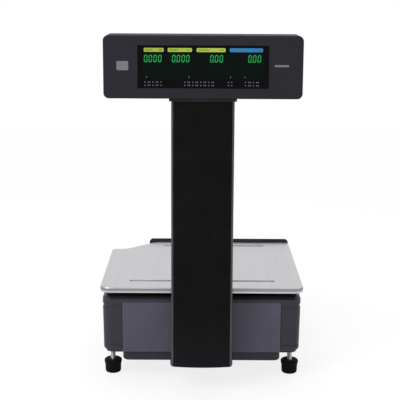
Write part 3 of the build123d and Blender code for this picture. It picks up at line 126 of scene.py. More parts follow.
def paintedLightBand(material, band):
    # a second tone between two heights and within |x| under half, each edge soft, all of it painted light:
    # painted shadow on the deck under the platter, painted dark reflection on the platter's hem, painted pale
    # reflection at the post's foot
    shader = next(node for node in material.node_tree.nodes if node.type == "BSDF_PRINCIPLED")
    under = shader.inputs["Base Color"].links[0].from_node
    coord = addNode(material, "ShaderNodeTexCoord")
    parts = addNode(material, "ShaderNodeSeparateXYZ", {}, {"Vector": (coord, "Object")})
    over = addNode(material, "ShaderNodeMapRange", {"From Min": (band["low"] - band["soft"]) * mm,
        "From Max": (band["low"] + band["soft"]) * mm}, {"Value": (parts, "Z")})
    below = addNode(material, "ShaderNodeMapRange", {"From Min": (band["high"] + band["soft"]) * mm,
        "From Max": (band["high"] - band["soft"]) * mm}, {"Value": (parts, "Z")})
    side = addNode(material, "ShaderNodeMath", {"operation": "ABSOLUTE"}, {0: (parts, "X")})
    inside = addNode(material, "ShaderNodeMapRange", {"From Min": (band["half"] + 1.5) * mm,
        "From Max": (band["half"] - 1.5) * mm}, {"Value": (side, "Value")})
    tall = addNode(material, "ShaderNodeMath", {"operation": "MULTIPLY"},
        {0: (over, "Result"), 1: (below, "Result")})
    area = addNode(material, "ShaderNodeMath", {"operation": "MULTIPLY"},
        {0: (tall, "Value"), 1: (inside, "Result")})
    toned = addNode(material, "ShaderNodeMix", {"data_type": "RGBA", 7: linearColour(band["colour"])},
        {0: (area, "Value"), 6: (under, 2)})
    joinNode(material, shader, {"Base Color": (toned, 2)})
    return material


def extrudedPvc(name, s):
    # rigid PVC strip drawn through a die: nearly smooth black, with long faint lines up the post
    material, shader = newMaterial(name, {"Specular IOR Level": s["specular"], "IOR": 1.53})
    coord = addNode(material, "ShaderNodeTexCoord")
    drawn = addNode(material, "ShaderNodeMapping", {"Scale": (1 / (s["lineMm"] * mm), 1 / (s["lineMm"] * mm),
        1 / (s["runMm"] * mm))}, {"Vector": (coord, "Object")})
    grain = addNode(material, "ShaderNodeTexNoise", {"Scale": 1.0, "Detail": 3.0},
        {"Vector": (drawn, "Vector")})
    return handledSkin(material, shader, (grain, "Fac"), s)


def workedMetal(name, s):
    # metal with lines left by the tool: stretched noise along one axis gives brushing, drawing or milling
    material, shader = newMaterial(name, {"Metallic": s["metallic"], "Specular IOR Level": s["specular"]})
    coord = addNode(material, "ShaderNodeTexCoord")
    spread = [1 / (part * mm) for part in s["lineMm"]]
    lines = addNode(material, "ShaderNodeMapping", {"Scale": spread}, {"Vector": (coord, "Object")})
    fine = addNode(material, "ShaderNodeTexNoise", {"Scale": 1.0, "Detail": 4.0, "Roughness": 0.65},
        {"Vector": (lines, "Vector")})
    broad = addNode(material, "ShaderNodeTexNoise", {"Scale": 0.13, "Detail": 2.0},
        {"Vector": (lines, "Vector")})
    both = addNode(material, "ShaderNodeMix", {"data_type": "FLOAT", 0: 0.45},
        {2: (fine, "Fac"), 3: (broad, "Fac")})
    return handledSkin(material, shader, (both, 0), s)


def nitrileRubber(name, s):
    # black nitrile: matt, with a grey bloom and tiny pits from the mould
    material, shader = newMaterial(name, {"Specular IOR Level": s["specular"], "IOR": 1.52,
        "Sheen Weight": 0.05, "Sheen Roughness": 0.5})
    coord = addNode(material, "ShaderNodeTexCoord")
    pits = addNode(material, "ShaderNodeTexVoronoi", {"Scale": 1 / (s["grainMm"] * mm), "feature": "F1"},
        {"Vector": (coord, "Object")})
    return handledSkin(material, shader, (pits, "Distance"), s)


def smokedAcrylic(name, s):
    # dark cast acrylic with a hard anti-glare coat: near black, a soft sheen, a few hairline wipes
    material, shader = newMaterial(name, {"Specular IOR Level": s["specular"], "IOR": 1.49})
    coord = addNode(material, "ShaderNodeTexCoord")
    wipe = addNode(material, "ShaderNodeMapping", {"Rotation": (0.0, 0.35, 0.0),
        "Scale": (60.0, 60.0, 1400.0)}, {"Vector": (coord, "Object")})
    grain = addNode(material, "ShaderNodeTexNoise", {"Scale": 1.0, "Detail": 2.0},
        {"Vector": (wipe, "Vector")})
    return handledSkin(material, shader, (grain, "Fac"), s)


def glassEpoxyBoard(name, s):
    # FR-4 board: green lacquer over copper tracks, which show as paler square lanes
    material, shader = newMaterial(name, {"Specular IOR Level": s["specular"]})
    coord = addNode(material, "ShaderNodeTexCoord")
    tracks = addNode(material, "ShaderNodeTexVoronoi", {"Scale": 1 / (s["grainMm"] * mm),
        "distance": "MANHATTAN", "feature": "F1"}, {"Vector": (coord, "Object")})
    return handledSkin(material, shader, (tracks, "Distance"), s)


def woundPaper(name, s):
    # direct thermal label paper: bright, matt, with fine fibres and the edges of the wound turns
    material, shader = newMaterial(name, {"Specular IOR Level": s["specular"]})
    coord = addNode(material, "ShaderNodeTexCoord")
    centred = addNode(material, "ShaderNodeMapping", {"Location": [-part for part in s["centre"]]},
        {"Vector": (coord, "Object")})
    turns = addNode(material, "ShaderNodeTexWave", {"wave_type": "RINGS", "rings_direction": "X",
        "Scale": 0.314 / (s["grainMm"] * mm), "Distortion": 0.4, "Detail": 1.0},
        {"Vector": (centred, "Vector")})
    return handledSkin(material, shader, (turns, "Fac"), s)


def ribbonPvc(name, s):
    # flat grey PVC cable: parallel cores show as soft ribs along its run
    material, shader = newMaterial(name, {"Specular IOR Level": s["specular"]})
    coord = addNode(material, "ShaderNodeTexCoord")
    cores = addNode(material, "ShaderNodeTexWave", {"wave_type": "BANDS", "bands_direction": "X",
        "Scale": 0.314 / (s["grainMm"] * mm)}, {"Vector": (coord, "Object")})
    return handledSkin(material, shader, (cores, "Fac"), s)


def screenInk(name, s):
    # screen-printed ink: flat and even, with the faint mesh of the screen in it
    material, shader = newMaterial(name, {"Specular IOR Level": s["specular"],
        "Emission Strength": s.get("glow", 0.0), "Emission Color": linearColour(s["colour"])})
    coord = addNode(material, "ShaderNodeTexCoord")
    mesh = addNode(material, "ShaderNodeTexNoise", {"Scale": 1 / (s["grainMm"] * mm), "Detail": 1.0},
        {"Vector": (coord, "Object")})
    return handledSkin(material, shader, (mesh, "Fac"), s)


def litPhosphor(name, s):
    # vacuum fluorescent phosphor: uneven green light over a pale powder
    material, shader = newMaterial(name, {"Base Color": linearColour(s["powder"]), "Roughness": 0.6,
        "Specular IOR Level": 0.1, "Emission Strength": s["glow"]})
    coord = addNode(material, "ShaderNodeTexCoord")
    powder = addNode(material, "ShaderNodeTexNoise", {"Scale": 1 / (s["grainMm"] * mm), "Detail": 2.0},
        {"Vector": (coord, "Object")})
    light = addNode(material, "ShaderNodeMix", {"data_type": "RGBA", 6: linearColour(s["dim"]),
        7: linearColour(s["bright"])}, {0: (powder, "Fac")})
    joinNode(material, shader, {"Emission Color": (light, 2)})
    return material


def skinSettings(colour, mottled, rubbedColour, **changes):
    # what most finishes share, with the changes of one finish
    shared = {
        "colour": colour, "mottled": mottled, "rubbedColour": rubbedColour,
        "grainMm": 1.1, "mottleMm": 45.0, "edgeMm": 0.7, "rubbed": 0.5, "speckle": 0.06,
        "roughness": (0.42, 0.54), "relief": 0.25, "reliefMm": 0.12, "specular": 0.35,
    }
    return {**shared, **changes}


finishes = {
    "slateAbs": mouldedAbs("slateAbs", skinSettings("#474452", "#4c4958", "#7c7a88", specular=0.25)),
    "shellAbs": mouldedAbs("shellAbs", skinSettings("#26252e", "#2a2933", "#5d5c69", specular=0.25)),
    "headAbs": mouldedAbs("headAbs", skinSettings("#15151c", "#191921", "#464653", specular=0.2,
        roughness=(0.56, 0.68))),
    "postPvc": extrudedPvc("postPvc", skinSettings("#090909", "#0c0c0d", "#2c2c31", lineMm=2.2, runMm=400.0,
        specular=0.05, roughness=(0.34, 0.46), relief=0.06, speckle=0.05)),
    "postAluminium": workedMetal("postAluminium", skinSettings("#454449", "#4c4b51", "#8d8d93",
        lineMm=(1.6, 1.6, 260.0), metallic=0.8, specular=0.4, roughness=(0.36, 0.5), relief=0.1, edgeMm=0.5)),
    "brushedStainless": workedMetal("brushedStainless", skinSettings("#bcbcbf", "#c2c1c4", "#d4d4d6",
        lineMm=(0.9, 120.0, 5.0), mottleMm=70.0, metallic=1.0, specular=0.5, roughness=(0.3, 0.42),
        relief=0.16, reliefMm=0.05, speckle=0.35, rubbed=0.6, edgeMm=0.8)),
    "sandCastAluminium": workedMetal("sandCastAluminium",
        skinSettings("#8b8c90", "#97989c", "#c4c4c8", lineMm=(1.6, 1.6, 1.6), metallic=0.9, specular=0.5,
        roughness=(0.5, 0.65), relief=0.5, reliefMm=0.2)),
    "milledAluminium": workedMetal("milledAluminium", skinSettings("#b4b5b9", "#bebfc2", "#dcdcdf",
        lineMm=(40.0, 0.8, 0.8), metallic=1.0, specular=0.5, roughness=(0.26, 0.38), relief=0.2,
        reliefMm=0.05)),
    "badgeAluminium": workedMetal("badgeAluminium", skinSettings("#6d6d74", "#76767d", "#b5b5ba",
        lineMm=(20.0, 0.7, 0.7), metallic=0.9, specular=0.4, roughness=(0.34, 0.46), relief=0.12,
        reliefMm=0.04, edgeMm=0.3)),
    "zincPlate": workedMetal("zincPlate", skinSettings("#a5a8ac", "#b3b4b6", "#cfd0d2",
        lineMm=(1.4, 1.4, 1.4), metallic=1.0, specular=0.5, roughness=(0.3, 0.45), relief=0.15,
        reliefMm=0.05, edgeMm=0.3)),
    "tinPlate": workedMetal("tinPlate", skinSettings("#9fa1a4", "#a9abae", "#c9cacc", lineMm=(30.0, 0.9, 0.9),
        metallic=1.0, specular=0.5, roughness=(0.2, 0.3), relief=0.1, reliefMm=0.05)),
    "powderCoat": mouldedAbs("powderCoat", skinSettings("#131316", "#18181c", "#4a4a50", grainMm=0.9,
        relief=0.5, reliefMm=0.15, roughness=(0.4, 0.5), specular=0.25)),
    "chassisPaint": mouldedAbs("chassisPaint", skinSettings("#201f28", "#24232c", "#55545f", grainMm=0.9,
        relief=0.45, reliefMm=0.15, roughness=(0.45, 0.55), specular=0.25)),
    "coverAbs": mouldedAbs("coverAbs", skinSettings("#2a2933", "#2e2d38", "#5d5c69", specular=0.25)),
    "nitrile": nitrileRubber("nitrile", skinSettings("#060607", "#0a0a0b", "#222226", grainMm=1.3,
        roughness=(0.7, 0.85), specular=0.06, rubbed=0.35)),
    "keypadSilicone": nitrileRubber("keypadSilicone", skinSettings("#26272b", "#2c2d31", "#4a4b50",
        grainMm=0.9, roughness=(0.6, 0.75), specular=0.25, edgeMm=0.5)),
    "windowAcrylic": smokedAcrylic("windowAcrylic", skinSettings("#040405", "#050507", "#141418",
        roughness=(0.08, 0.14), specular=0.06, relief=0.02, edgeMm=0.3, speckle=0.02, mottleMm=30.0)),
    "boardGreen": glassEpoxyBoard("boardGreen", skinSettings("#1d5a38", "#1a4f32", "#6b8f4e", grainMm=3.0,
        speckle=0.5, roughness=(0.3, 0.45), specular=0.4, relief=0.3)),
    "blackNylon": mouldedAbs("blackNylon", skinSettings("#101012", "#151517", "#3d3d42", grainMm=0.8,
        roughness=(0.38, 0.5), specular=0.3, edgeMm=0.4)),
    "whiteAbs": mouldedAbs("whiteAbs", skinSettings("#cfcfca", "#c8c8c2", "#e2e2de", grainMm=0.9,
        roughness=(0.38, 0.5), edgeMm=0.5)),
    "acetal": mouldedAbs("acetal", skinSettings("#d9d8d2", "#d2d1ca", "#e9e8e4", grainMm=0.8,
        roughness=(0.3, 0.42), edgeMm=0.3)),
    "overlayPolyester": mouldedAbs("overlayPolyester", skinSettings("#b9bcc0", "#b2b5ba", "#d4d6d8",
        grainMm=0.8, roughness=(0.4, 0.52), relief=0.15, edgeMm=0.3)),
    "labelPaper": woundPaper("labelPaper", skinSettings("#e6e5df", "#dedcd5", "#c5c2b8", grainMm=0.9,
        centre=(0.0, 0.158, 0.082), speckle=0.3, roughness=(0.7, 0.8), specular=0.2, edgeMm=0.3)),
    "ribbonCable": ribbonPvc("ribbonCable", skinSettings("#85878c", "#7c7e84", "#5c5e64", grainMm=1.27,
        speckle=0.8, relief=0.5, edgeMm=0.2)),
}
# painted shadow: the deck under the platter's overhang is painted near black where the platter shades it
paintedLightBand(finishes["coverAbs"], {"low": 130.9, "high": 300.0, "half": 147.0, "soft": 0.3,
    "colour": "#030304"})
# painted reflection: a dark mauve band along the top of the platter's skirt stands for the dark surroundings
# mirrored in it
paintedLightBand(finishes["brushedStainless"], {"low": 145.4, "high": 149.9, "half": 400.0, "soft": 0.5,
    "colour": "#918b90"})
# painted reflection: the post's black PVC turns lighter towards the bottom, standing for the pale floor
# mirrored in it
paintedLightBand(finishes["postPvc"], {"low": -40.0, "high": 70.0, "half": 400.0, "soft": 60.0,
    "colour": "#18181c"})
print("stage: the finishes are mixed")

wornBy = {
    "slateAbs": ["customer_centre_panel", "keyboard_panel"],
    "shellAbs": ["left_side_housing", "right_side_housing", "printer_housing", "printer_lid",
        "console_housing", "operator_lower_panel"],
    "coverAbs": ["top_cover"],
    "chassisPaint": ["base_chassis"],
    "headAbs": ["head_front_bezel", "head_rear_cover", "neck_collar"],
    "postPvc": ["column_front_cover"],
    "postAluminium": ["column_extrusion"],
    "brushedStainless": ["platter"],
    "sandCastAluminium": ["platter_spider"],
    "milledAluminium": ["load_cell"],
    "badgeAluminium": ["blank_badges"],
    "zincPlate": ["front_left_foot_stud", "front_right_foot_stud", "rear_left_foot_stud",
        "rear_right_foot_stud", "case_screws", "overload_stops", "platen_shaft", "lid_hinge_pin",
        "head_frame", "printer_frame"],
    "tinPlate": ["printer_motor"],
    "powderCoat": ["column_bracket"],
    "nitrile": ["front_left_foot_pad", "front_right_foot_pad", "rear_left_foot_pad", "rear_right_foot_pad",
        "platter_buffers", "platen_rubber"],
    "keypadSilicone": ["number_pad"],
    "windowAcrylic": ["customer_window", "operator_window"],
    "boardGreen": ["main_board", "power_supply", "key_board", "customer_display", "operator_display"],
    "blackNylon": ["power_entry", "power_rocker", "port_sockets", "lid_latch", "thermal_head",
        "spirit_level"],
    "whiteAbs": ["print_key", "feed_key", "total_key", "clear_key"],
    "acetal": ["platen_gear", "motor_pinion"],
    "overlayPolyester": ["preset_sheet"],
    "labelPaper": ["label_roll"],
    "ribbonCable": ["display_cable"],
}
for finish, nodeNames in wornBy.items():
    for nodeName in nodeNames:
        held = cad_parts[nodeName].data.materials
        held.clear()
        held.append(finishes[finish])
bare = sorted(set(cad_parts) - {n for names in wornBy.values() for n in names})
print("stage: every carried-over piece has its finish, left over:", bare)


def meshPiece(name, points, faces, material, body, smooth=False):
    # points in metres in the row frame; the piece rides on one body
    mesh = bpy.data.meshes.new(name)
    mesh.from_pydata(np.asarray(points, float).tolist(), [], faces)
    mesh.update()
    mesh.materials.append(material)
    if smooth:
        mesh.polygons.foreach_set("use_smooth", [True] * len(mesh.polygons))
    piece = bpy.data.objects.new(name, mesh)
    bpy.context.scene.collection.objects.link(piece)
    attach(piece, body)
    return piece


def onPlane(plane, flat, height):
    # point = origin + across * a + up * b + outward * height, for every row (a, b) in mm
    flat = np.asarray(flat, float)
    origin, across, up = (np.array(part, float) for part in plane)
    outward = np.cross(across, up)
    return (origin + flat[:, :1] * across + flat[:, 1:2] * up + height * outward) * mm


def raisedShapes(name, plane, outlines, low, high, material, body):
    # each closed outline is carried outward from low to high: a top face, a bottom face and a wall round it
    points, faces, start = [], [], 0
    for outline in outlines:
        count = len(outline)
        points.append(np.vstack([onPlane(plane, outline, low), onPlane(plane, outline, high)]))
        ring = np.arange(count)
        after = (ring + 1) % count
        walls = np.column_stack([ring, after, after + count, ring + count]) + start
        faces += walls.tolist()
        faces.append((ring + count + start).tolist())
        faces.append((ring[::-1] + start).tolist())
        start += 2 * count
    return meshPiece(name, np.vstack(points), faces, material, body)


def roundedOutline(left, right, low, high, radius, steps=5):
    # a rectangle whose corners are quarter circles of that radius, anticlockwise
    quarter = np.linspace(0, math.pi / 2, steps)
    arc = radius * np.column_stack([np.cos(quarter), np.sin(quarter)])
    turn = np.array([[0, 1], [-1, 0]])
    centres = [(right - radius, high - radius), (left + radius, high - radius), (left + radius, low + radius),
        (right - radius, low + radius)]
    parts = []
    for centre in centres:
        parts.append(arc + centre)
        arc = arc @ turn
    return np.vstack(parts)


def litDigit(left, low, width, height, stroke, lean):
    # six bars with pointed ends, drawing a leaning zero; x moves by lean times height
    halfHeight, s = height / 2, stroke / 2
    bars = []
    flat = np.array([(s * 1.3, 0), (s * 2.1, s * 0.9), (width - s * 2.1, s * 0.9), (width - s * 1.3, 0),
        (width - s * 2.1, -s * 0.9), (s * 2.1, -s * 0.9)])
    for level in (height - s, s):
        bars.append(flat + (0, level))
    upright = np.array([(0, s * 1.3), (s * 0.9, s * 2.1), (s * 0.9, halfHeight - s * 1.1),
        (0, halfHeight - s * 0.3), (-s * 0.9, halfHeight - s * 1.1), (-s * 0.9, s * 2.1)])
    for side in (s, width - s):
        for base in (0, halfHeight):
            shifted = upright + (side, base)
            bars.append(shifted if base == 0 else (upright * (1, -1) + (side, height)))
    placed = []
    for bar in bars:
        bar = bar + (left, 0)
        bar[:, 0] += lean * bar[:, 1]
        bar[:, 1] += low
        centre = bar.mean(0)
        order = np.argsort(np.arctan2(bar[:, 1] - centre[1], bar[:, 0] - centre[0]))
        placed.append(bar[order])
    return placed


# readout: four groups of zeros, coloured caption strips, small markers and dashes; mm from the pane's centre
readout = {
    "field": (-86.3, 87.7, -17.7, 19.1),
    "yellow": [(-85.3, -56.6), (-51.0, -16.1), (-9.6, 32.0)],
    "blue": [(38.0, 85.6)],
    "stripLow": 21.4, "stripHigh": 27.1,
    "groups": [(-85.3, 4), (-45.1, 4), (9.6, 3), (64.2, 3)],
    "pitch": 6.75, "digitWidth": 4.9, "digitHeight": 10.7, "digitLow": 6.7, "stroke": 1.25, "lean": 0.06,
    "markers": [-81.3, -20.6, 39.4, 59.9], "markerLevel": -14.0, "markerSize": (0.9, 0.8, 1.0),
    "dashes": [(-86.7, -58.0), (-29.4, 19.3), (33.7, 43.7), (58.0, 81.0)], "dashLevels": (-21.7, -26.3),
    "dashPitch": 2.3, "dashLong": 1.5, "dashHalf": 0.75,
    "tickPitch": 2.0, "tickLong": 1.4, "tickHalf": 0.8, "unitBack": 8.0, "unitLong": 4.2, "wordIn": 3.0,
        "wordShare": 0.34,
    "pointBack": 1.0, "pointSize": 0.9, "pointDrop": 0.2, "smallRound": 0.3,
}
inks = {
    "fieldGreen": smokedAcrylic("fieldGreen", skinSettings("#020a06", "#030d08", "#05140c",
        roughness=(0.1, 0.18), specular=0.06, relief=0.02, edgeMm=0.1, rubbed=0.0)),
    "captionYellow": screenInk("captionYellow", skinSettings("#a6bc48", "#99ae3f", "#c2d26a", grainMm=1.5,
        roughness=(0.25, 0.35), specular=0.15, edgeMm=0.1, rubbed=0.0)),
    "captionBlue": screenInk("captionBlue", skinSettings("#257ab4", "#2070a8", "#5499cc", grainMm=1.5,
        roughness=(0.25, 0.35), specular=0.15, edgeMm=0.1, rubbed=0.0)),
    "legendGrey": screenInk("legendGrey", skinSettings("#6c7074", "#64686c", "#85898d", grainMm=1.0,
        roughness=(0.3, 0.4), specular=0.1, edgeMm=0.1, rubbed=0.0)),
    "legendWhite": screenInk("legendWhite", skinSettings("#d8d9da", "#cfd0d2", "#e8e8e8", grainMm=1.0,
        roughness=(0.4, 0.5), specular=0.2, edgeMm=0.1, rubbed=0.0)),
    "legendDark": screenInk("legendDark", skinSettings("#25262a", "#2b2c30", "#45464a", grainMm=1.0,
        roughness=(0.4, 0.5), specular=0.2, edgeMm=0.1, rubbed=0.0)),
    "phosphor": litPhosphor("phosphor", {"powder": "#0f5a2c", "dim": "#19b04a", "bright": "#3bf07c",
        "glow": 0.5, "grainMm": 1.2}),
    "captionInk": screenInk("captionInk", skinSettings("#5d6420", "#565d1d", "#767d36", grainMm=1.0,
        roughness=(0.3, 0.4), specular=0.1, edgeMm=0.1, rubbed=0.0)),
}


def readoutFace(side, windowName, across):
    # the printed and lit layers of one pane, a few hundredths of a millimetre in front of it
    low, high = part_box(windowName)
    faceY = (low.y if across > 0 else high.y) / mm
    plane = ((0.0, faceY, (low.z + high.z) / 2 / mm), (across, 0.0, 0.0), (0.0, 0.0, 1.0))
    r = readout
    raisedShapes(side + "_readout_field", plane, [roundedOutline(*r["field"], 0.8)], -0.02, 0.02,
        inks["fieldGreen"], "base")
    for tint, key in (("captionYellow", "yellow"), ("captionBlue", "blue")):
        strips = [roundedOutline(a, b, r["stripLow"], r["stripHigh"], 1.6) for a, b in r[key]]
        raisedShapes(side + "_readout_" + key + "_strips", plane, strips, -0.02, 0.04, inks[tint], "base")
    captionTicks = []
    for a, b in r["yellow"] + r["blue"]:
        middle = (r["stripLow"] + r["stripHigh"]) / 2
        word = (a + r["wordIn"], (b - a) * r["wordShare"])
        unit = (b - r["unitBack"], r["unitLong"])
        for start, length in (word, unit):
            places = np.arange(start, start + length, r["tickPitch"])
            low, high = middle - r["tickHalf"], middle + r["tickHalf"]
            captionTicks += [roundedOutline(p, p + r["tickLong"], low, high, r["smallRound"], 3)
                for p in places]
    raisedShapes(side + "_readout_caption_ticks", plane, captionTicks, 0.0, 0.06, inks["captionInk"], "base")
    bars = []
    for start, count in r["groups"]:
        for place in range(count):
            left = start + place * r["pitch"]
            bars += litDigit(left, r["digitLow"], r["digitWidth"], r["digitHeight"], r["stroke"], r["lean"])
        dot = start + r["pitch"] - r["pointBack"]
        foot = r["digitLow"] - r["pointDrop"]
        bars.append(roundedOutline(dot, dot + r["pointSize"], foot, foot + r["pointSize"],
            r["smallRound"], 3))
    half, down, rise = r["markerSize"]
    marker = np.array([(-half, -down), (half, -down), (0.0, rise)])
    for place in r["markers"]:
        bars.append(marker + (place, r["markerLevel"]))
    raisedShapes(side + "_readout_lit_digits", plane, bars, 0.0, 0.06, inks["phosphor"], "base")
    dashes = []
    for level in r["dashLevels"]:
        for a, b in r["dashes"]:
            places = np.arange(a, b - 1.0, r["dashPitch"])
            # three places in five are kept, in an order that differs from line to line
            kept = places[(np.arange(len(places)) * 7 + int(-level)) % 5 > 1]
            below, above = level - r["dashHalf"], level + r["dashHalf"]
            dashes += [roundedOutline(p, p + r["dashLong"], below, above, r["smallRound"], 3) for p in kept]
    raisedShapes(side + "_readout_grey_dashes", plane, dashes, 0.0, 0.05, inks["legendGrey"], "base")


readoutFace("customer", "customer_window", 1.0)
readoutFace("operator", "operator_window", -1.0)
print("stage: both readouts are lit")


# M8 studs: the thread is cut from the full rod, so it stays inside the plain stud it stands for
studThread = {"pitch": 1.25, "depth": 0.62, "around": 36, "stepsPerTurn": 7, "taper": 0.9, "inside": 0.02,
    "endShrink": 0.14}


def threadedStud(corner):
    # radius = full - depth * |2 * frac(z / pitch - angle / turn) - 1|, shrunk over the first and last taper
    s = studThread
    low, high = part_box(corner + "_foot_stud")
    centre = ((low + high) / 2) / mm
    bottom, top, full = low.z / mm, high.z / mm, (high.x - low.x) / 2 / mm
    rings = int((top - bottom) / s["pitch"] * s["stepsPerTurn"])
    z = np.linspace(bottom, top, rings)[:, None]
    angle = np.linspace(0, 2 * math.pi, s["around"], endpoint=False)[None, :]
    phase = np.mod(z / s["pitch"] - angle / (2 * math.pi), 1.0)
    radius = full - s["inside"] - s["depth"] * np.abs(2 * phase - 1)
    ends = np.clip(np.minimum(z - bottom, top - z) / s["taper"], 0, 1)
    radius = radius * (1 - s["endShrink"] + s["endShrink"] * ends)
    ringPoints = np.stack([centre.x + radius * np.cos(angle), centre.y + radius * np.sin(angle),
        z + 0 * angle], axis=-1)
    points = np.vstack([ringPoints.reshape(-1, 3), [[centre.x, centre.y, bottom],
        [centre.x, centre.y, top]]]) * mm
    row, column = np.meshgrid(np.arange(rings - 1), np.arange(s["around"]), indexing="ij")
    nextColumn = (column + 1) % s["around"]
    at = row * s["around"]
    sides = np.stack([at + column, at + nextColumn, at + s["around"] + nextColumn, at + s["around"] + column],
        -1).reshape(-1, 4)
    around = np.arange(s["around"])
    after = (around + 1) % s["around"]
    last = (rings - 1) * s["around"]
    hub = rings * s["around"]
    lowCap = np.column_stack([after, around, np.full_like(around, hub)])
    highCap = np.column_stack([last + around, last + after, np.full_like(around, hub + 1)])
    faces = sides.tolist() + lowCap.tolist() + highCap.tolist()
    stud = meshPiece(corner + "_threaded_stud", points, faces, finishes["zincPlate"], corner + "_foot",
        smooth=True)
    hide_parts(corner + "_foot_stud")


for corner in ("front_left", "front_right", "rear_left", "rear_right"):
    threadedStud(corner)
print("stage: the foot studs are threaded")


# operator's keyboard: figures on the keys, crowned preset cells with plain numbers; mm on the sloping panel
keyboard = {
    "slope": 23.5, "padCentre": -52.0, "padPitch": 20.0, "rowPitch": 23.0, "keyRise": 2.8, "hardRise": 3.8,
    "rows": [("7", "8", "9"), ("4", "5", "6"), ("1", "2", "3"), ("0", "00", ".")], "figureHeight": 8.5,
        "presetColumns": 7, "presetRows": 5,
    "sheetMargin": 3.0, "sheetRise": 0.84, "cellGap": 1.6, "cellRise": 0.45, "cellSteps": 10,
    "presetFigure": 4.2, "ink": 0.04, "bodyPerFigure": 1.4,
}
slope = math.radians(keyboard["slope"])
consoleLow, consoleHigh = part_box("console_housing")
consoleOrigin = np.array([(consoleLow.x + consoleHigh.x) / 2, consoleLow.y, consoleHigh.z]) / mm
downSlope = np.array([0.0, math.cos(slope), -math.sin(slope)])
operatorPlane = (consoleOrigin, (-1.0, 0.0, 0.0), tuple(-downSlope))
panelMiddle = (consoleHigh.y - consoleLow.y) / mm / math.cos(slope) / 2


def figureShapes(text, height, centre):
    # the plain built-in face, made a mesh, its middle moved to centre on the plane
    curve = bpy.data.curves.new("figure", "FONT")
    curve.body = text
    curve.size = height * keyboard["bodyPerFigure"]
    curve.align_x = "CENTER"
    curve.align_y = "CENTER"
    source = bpy.data.objects.new("figure", curve)
    bpy.context.scene.collection.objects.link(source)
    bpy.context.view_layer.update()
    mesh = bpy.data.meshes.new_from_object(source)
    flat = np.zeros(len(mesh.vertices) * 3)
    mesh.vertices.foreach_get("co", flat)
    flat = flat.reshape(-1, 3)[:, :2]
    faces = [list(polygon.vertices) for polygon in mesh.polygons]
    bpy.data.objects.remove(source)
    bpy.data.meshes.remove(mesh)
    bpy.data.curves.remove(curve)
    flat = flat - (flat.min(0) + flat.max(0)) / 2 + centre
    return flat, faces


def printedFigures(name, plane, figures, height, rise, material, body):
    # all figures of one piece laid on the plane at rise, joined into one mesh
    points, faces, start = [], [], 0
    for text, centre in figures:
        flat, shapes = figureShapes(text, height, centre)
        points.append(onPlane(plane, flat, rise))
        faces += [[i + start for i in shape] for shape in shapes]
        start += len(flat)
    return meshPiece(name, np.vstack(points), faces, material, body)


k = keyboard
figures = []
for row, line in enumerate(k["rows"]):
    for column, sign in enumerate(line):
        across = -k["padCentre"] + (column - 1) * k["padPitch"]
        along = -panelMiddle + (1.5 - row) * k["rowPitch"]
        figures.append((sign, (across, along)))
printedFigures("number_pad_figures", operatorPlane, figures, k["figureHeight"], k["keyRise"] + k["ink"],
    inks["legendWhite"], "base")
for keyName, sign in (("print_key", "*"), ("feed_key", "^"), ("total_key", "="), ("clear_key", "C")):
    low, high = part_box(keyName)
    middle = np.array((low + high) / 2) / mm - consoleOrigin
    place = (-middle[0], float(middle @ -downSlope))
    printedFigures(keyName + "_sign", operatorPlane, [(sign, place)], k["figureHeight"],
        k["hardRise"] + k["ink"], inks["legendDark"], keyName)


def crownedCells(name, cells, material):
    # each cell is a pillow: height = rise * (1 - a^6) * (1 - b^6) over a and b from -1 to 1
    steps = k["cellSteps"]
    a, b = np.meshgrid(np.linspace(-1, 1, steps), np.linspace(-1, 1, steps), indexing="ij")
    height = (k["sheetRise"] + k["cellRise"] * (1 - a ** 6) * (1 - b ** 6)).ravel()
    row, column = np.meshgrid(np.arange(steps - 1), np.arange(steps - 1), indexing="ij")
    at = (row * steps + column).ravel()
    quads = np.column_stack([at, at + steps, at + steps + 1, at + 1])
    points, faces = [], []
    for number, (left, right, low, high) in enumerate(cells):
        flat = np.column_stack([((left + right) / 2 + a * (right - left) / 2).ravel(),
            ((low + high) / 2 + b * (high - low) / 2).ravel()])
        base = onPlane(operatorPlane, flat, 0.0)
        outward = np.cross(operatorPlane[1], operatorPlane[2])
        points.append(base + height[:, None] * outward * mm)
        faces += (quads + number * steps * steps).tolist()
    return meshPiece(name, np.vstack(points), faces, material, "base", smooth=True)


sheetLow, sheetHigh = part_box("preset_sheet")
sheetRight = -(sheetLow.x / mm - consoleOrigin[0])
sheetLeft = -(sheetHigh.x / mm - consoleOrigin[0])
sheetHalf = (sheetHigh.y - sheetLow.y) / mm / math.cos(slope) / 2
cellWide = (sheetRight - sheetLeft - 2 * k["sheetMargin"]) / k["presetColumns"]
cellDeep = (2 * sheetHalf - 2 * k["sheetMargin"]) / k["presetRows"]
presetTints = {
    "presetGrey": (mouldedAbs("presetGrey", skinSettings("#a9adb3", "#a2a6ac", "#c6c9cc", grainMm=0.8,
        roughness=(0.4, 0.5), edgeMm=0.2)), (0, 1, 2)),
    "presetBlue": (mouldedAbs("presetBlue", skinSettings("#7d9fbc", "#7698b6", "#a8c0d4", grainMm=0.8,
        roughness=(0.4, 0.5), edgeMm=0.2)), (3, 4)),
    "presetSand": (mouldedAbs("presetSand", skinSettings("#c9bd94", "#c2b68c", "#dcd3b4", grainMm=0.8,
        roughness=(0.4, 0.5), edgeMm=0.2)), (5, 6)),
}
presetFigures = []
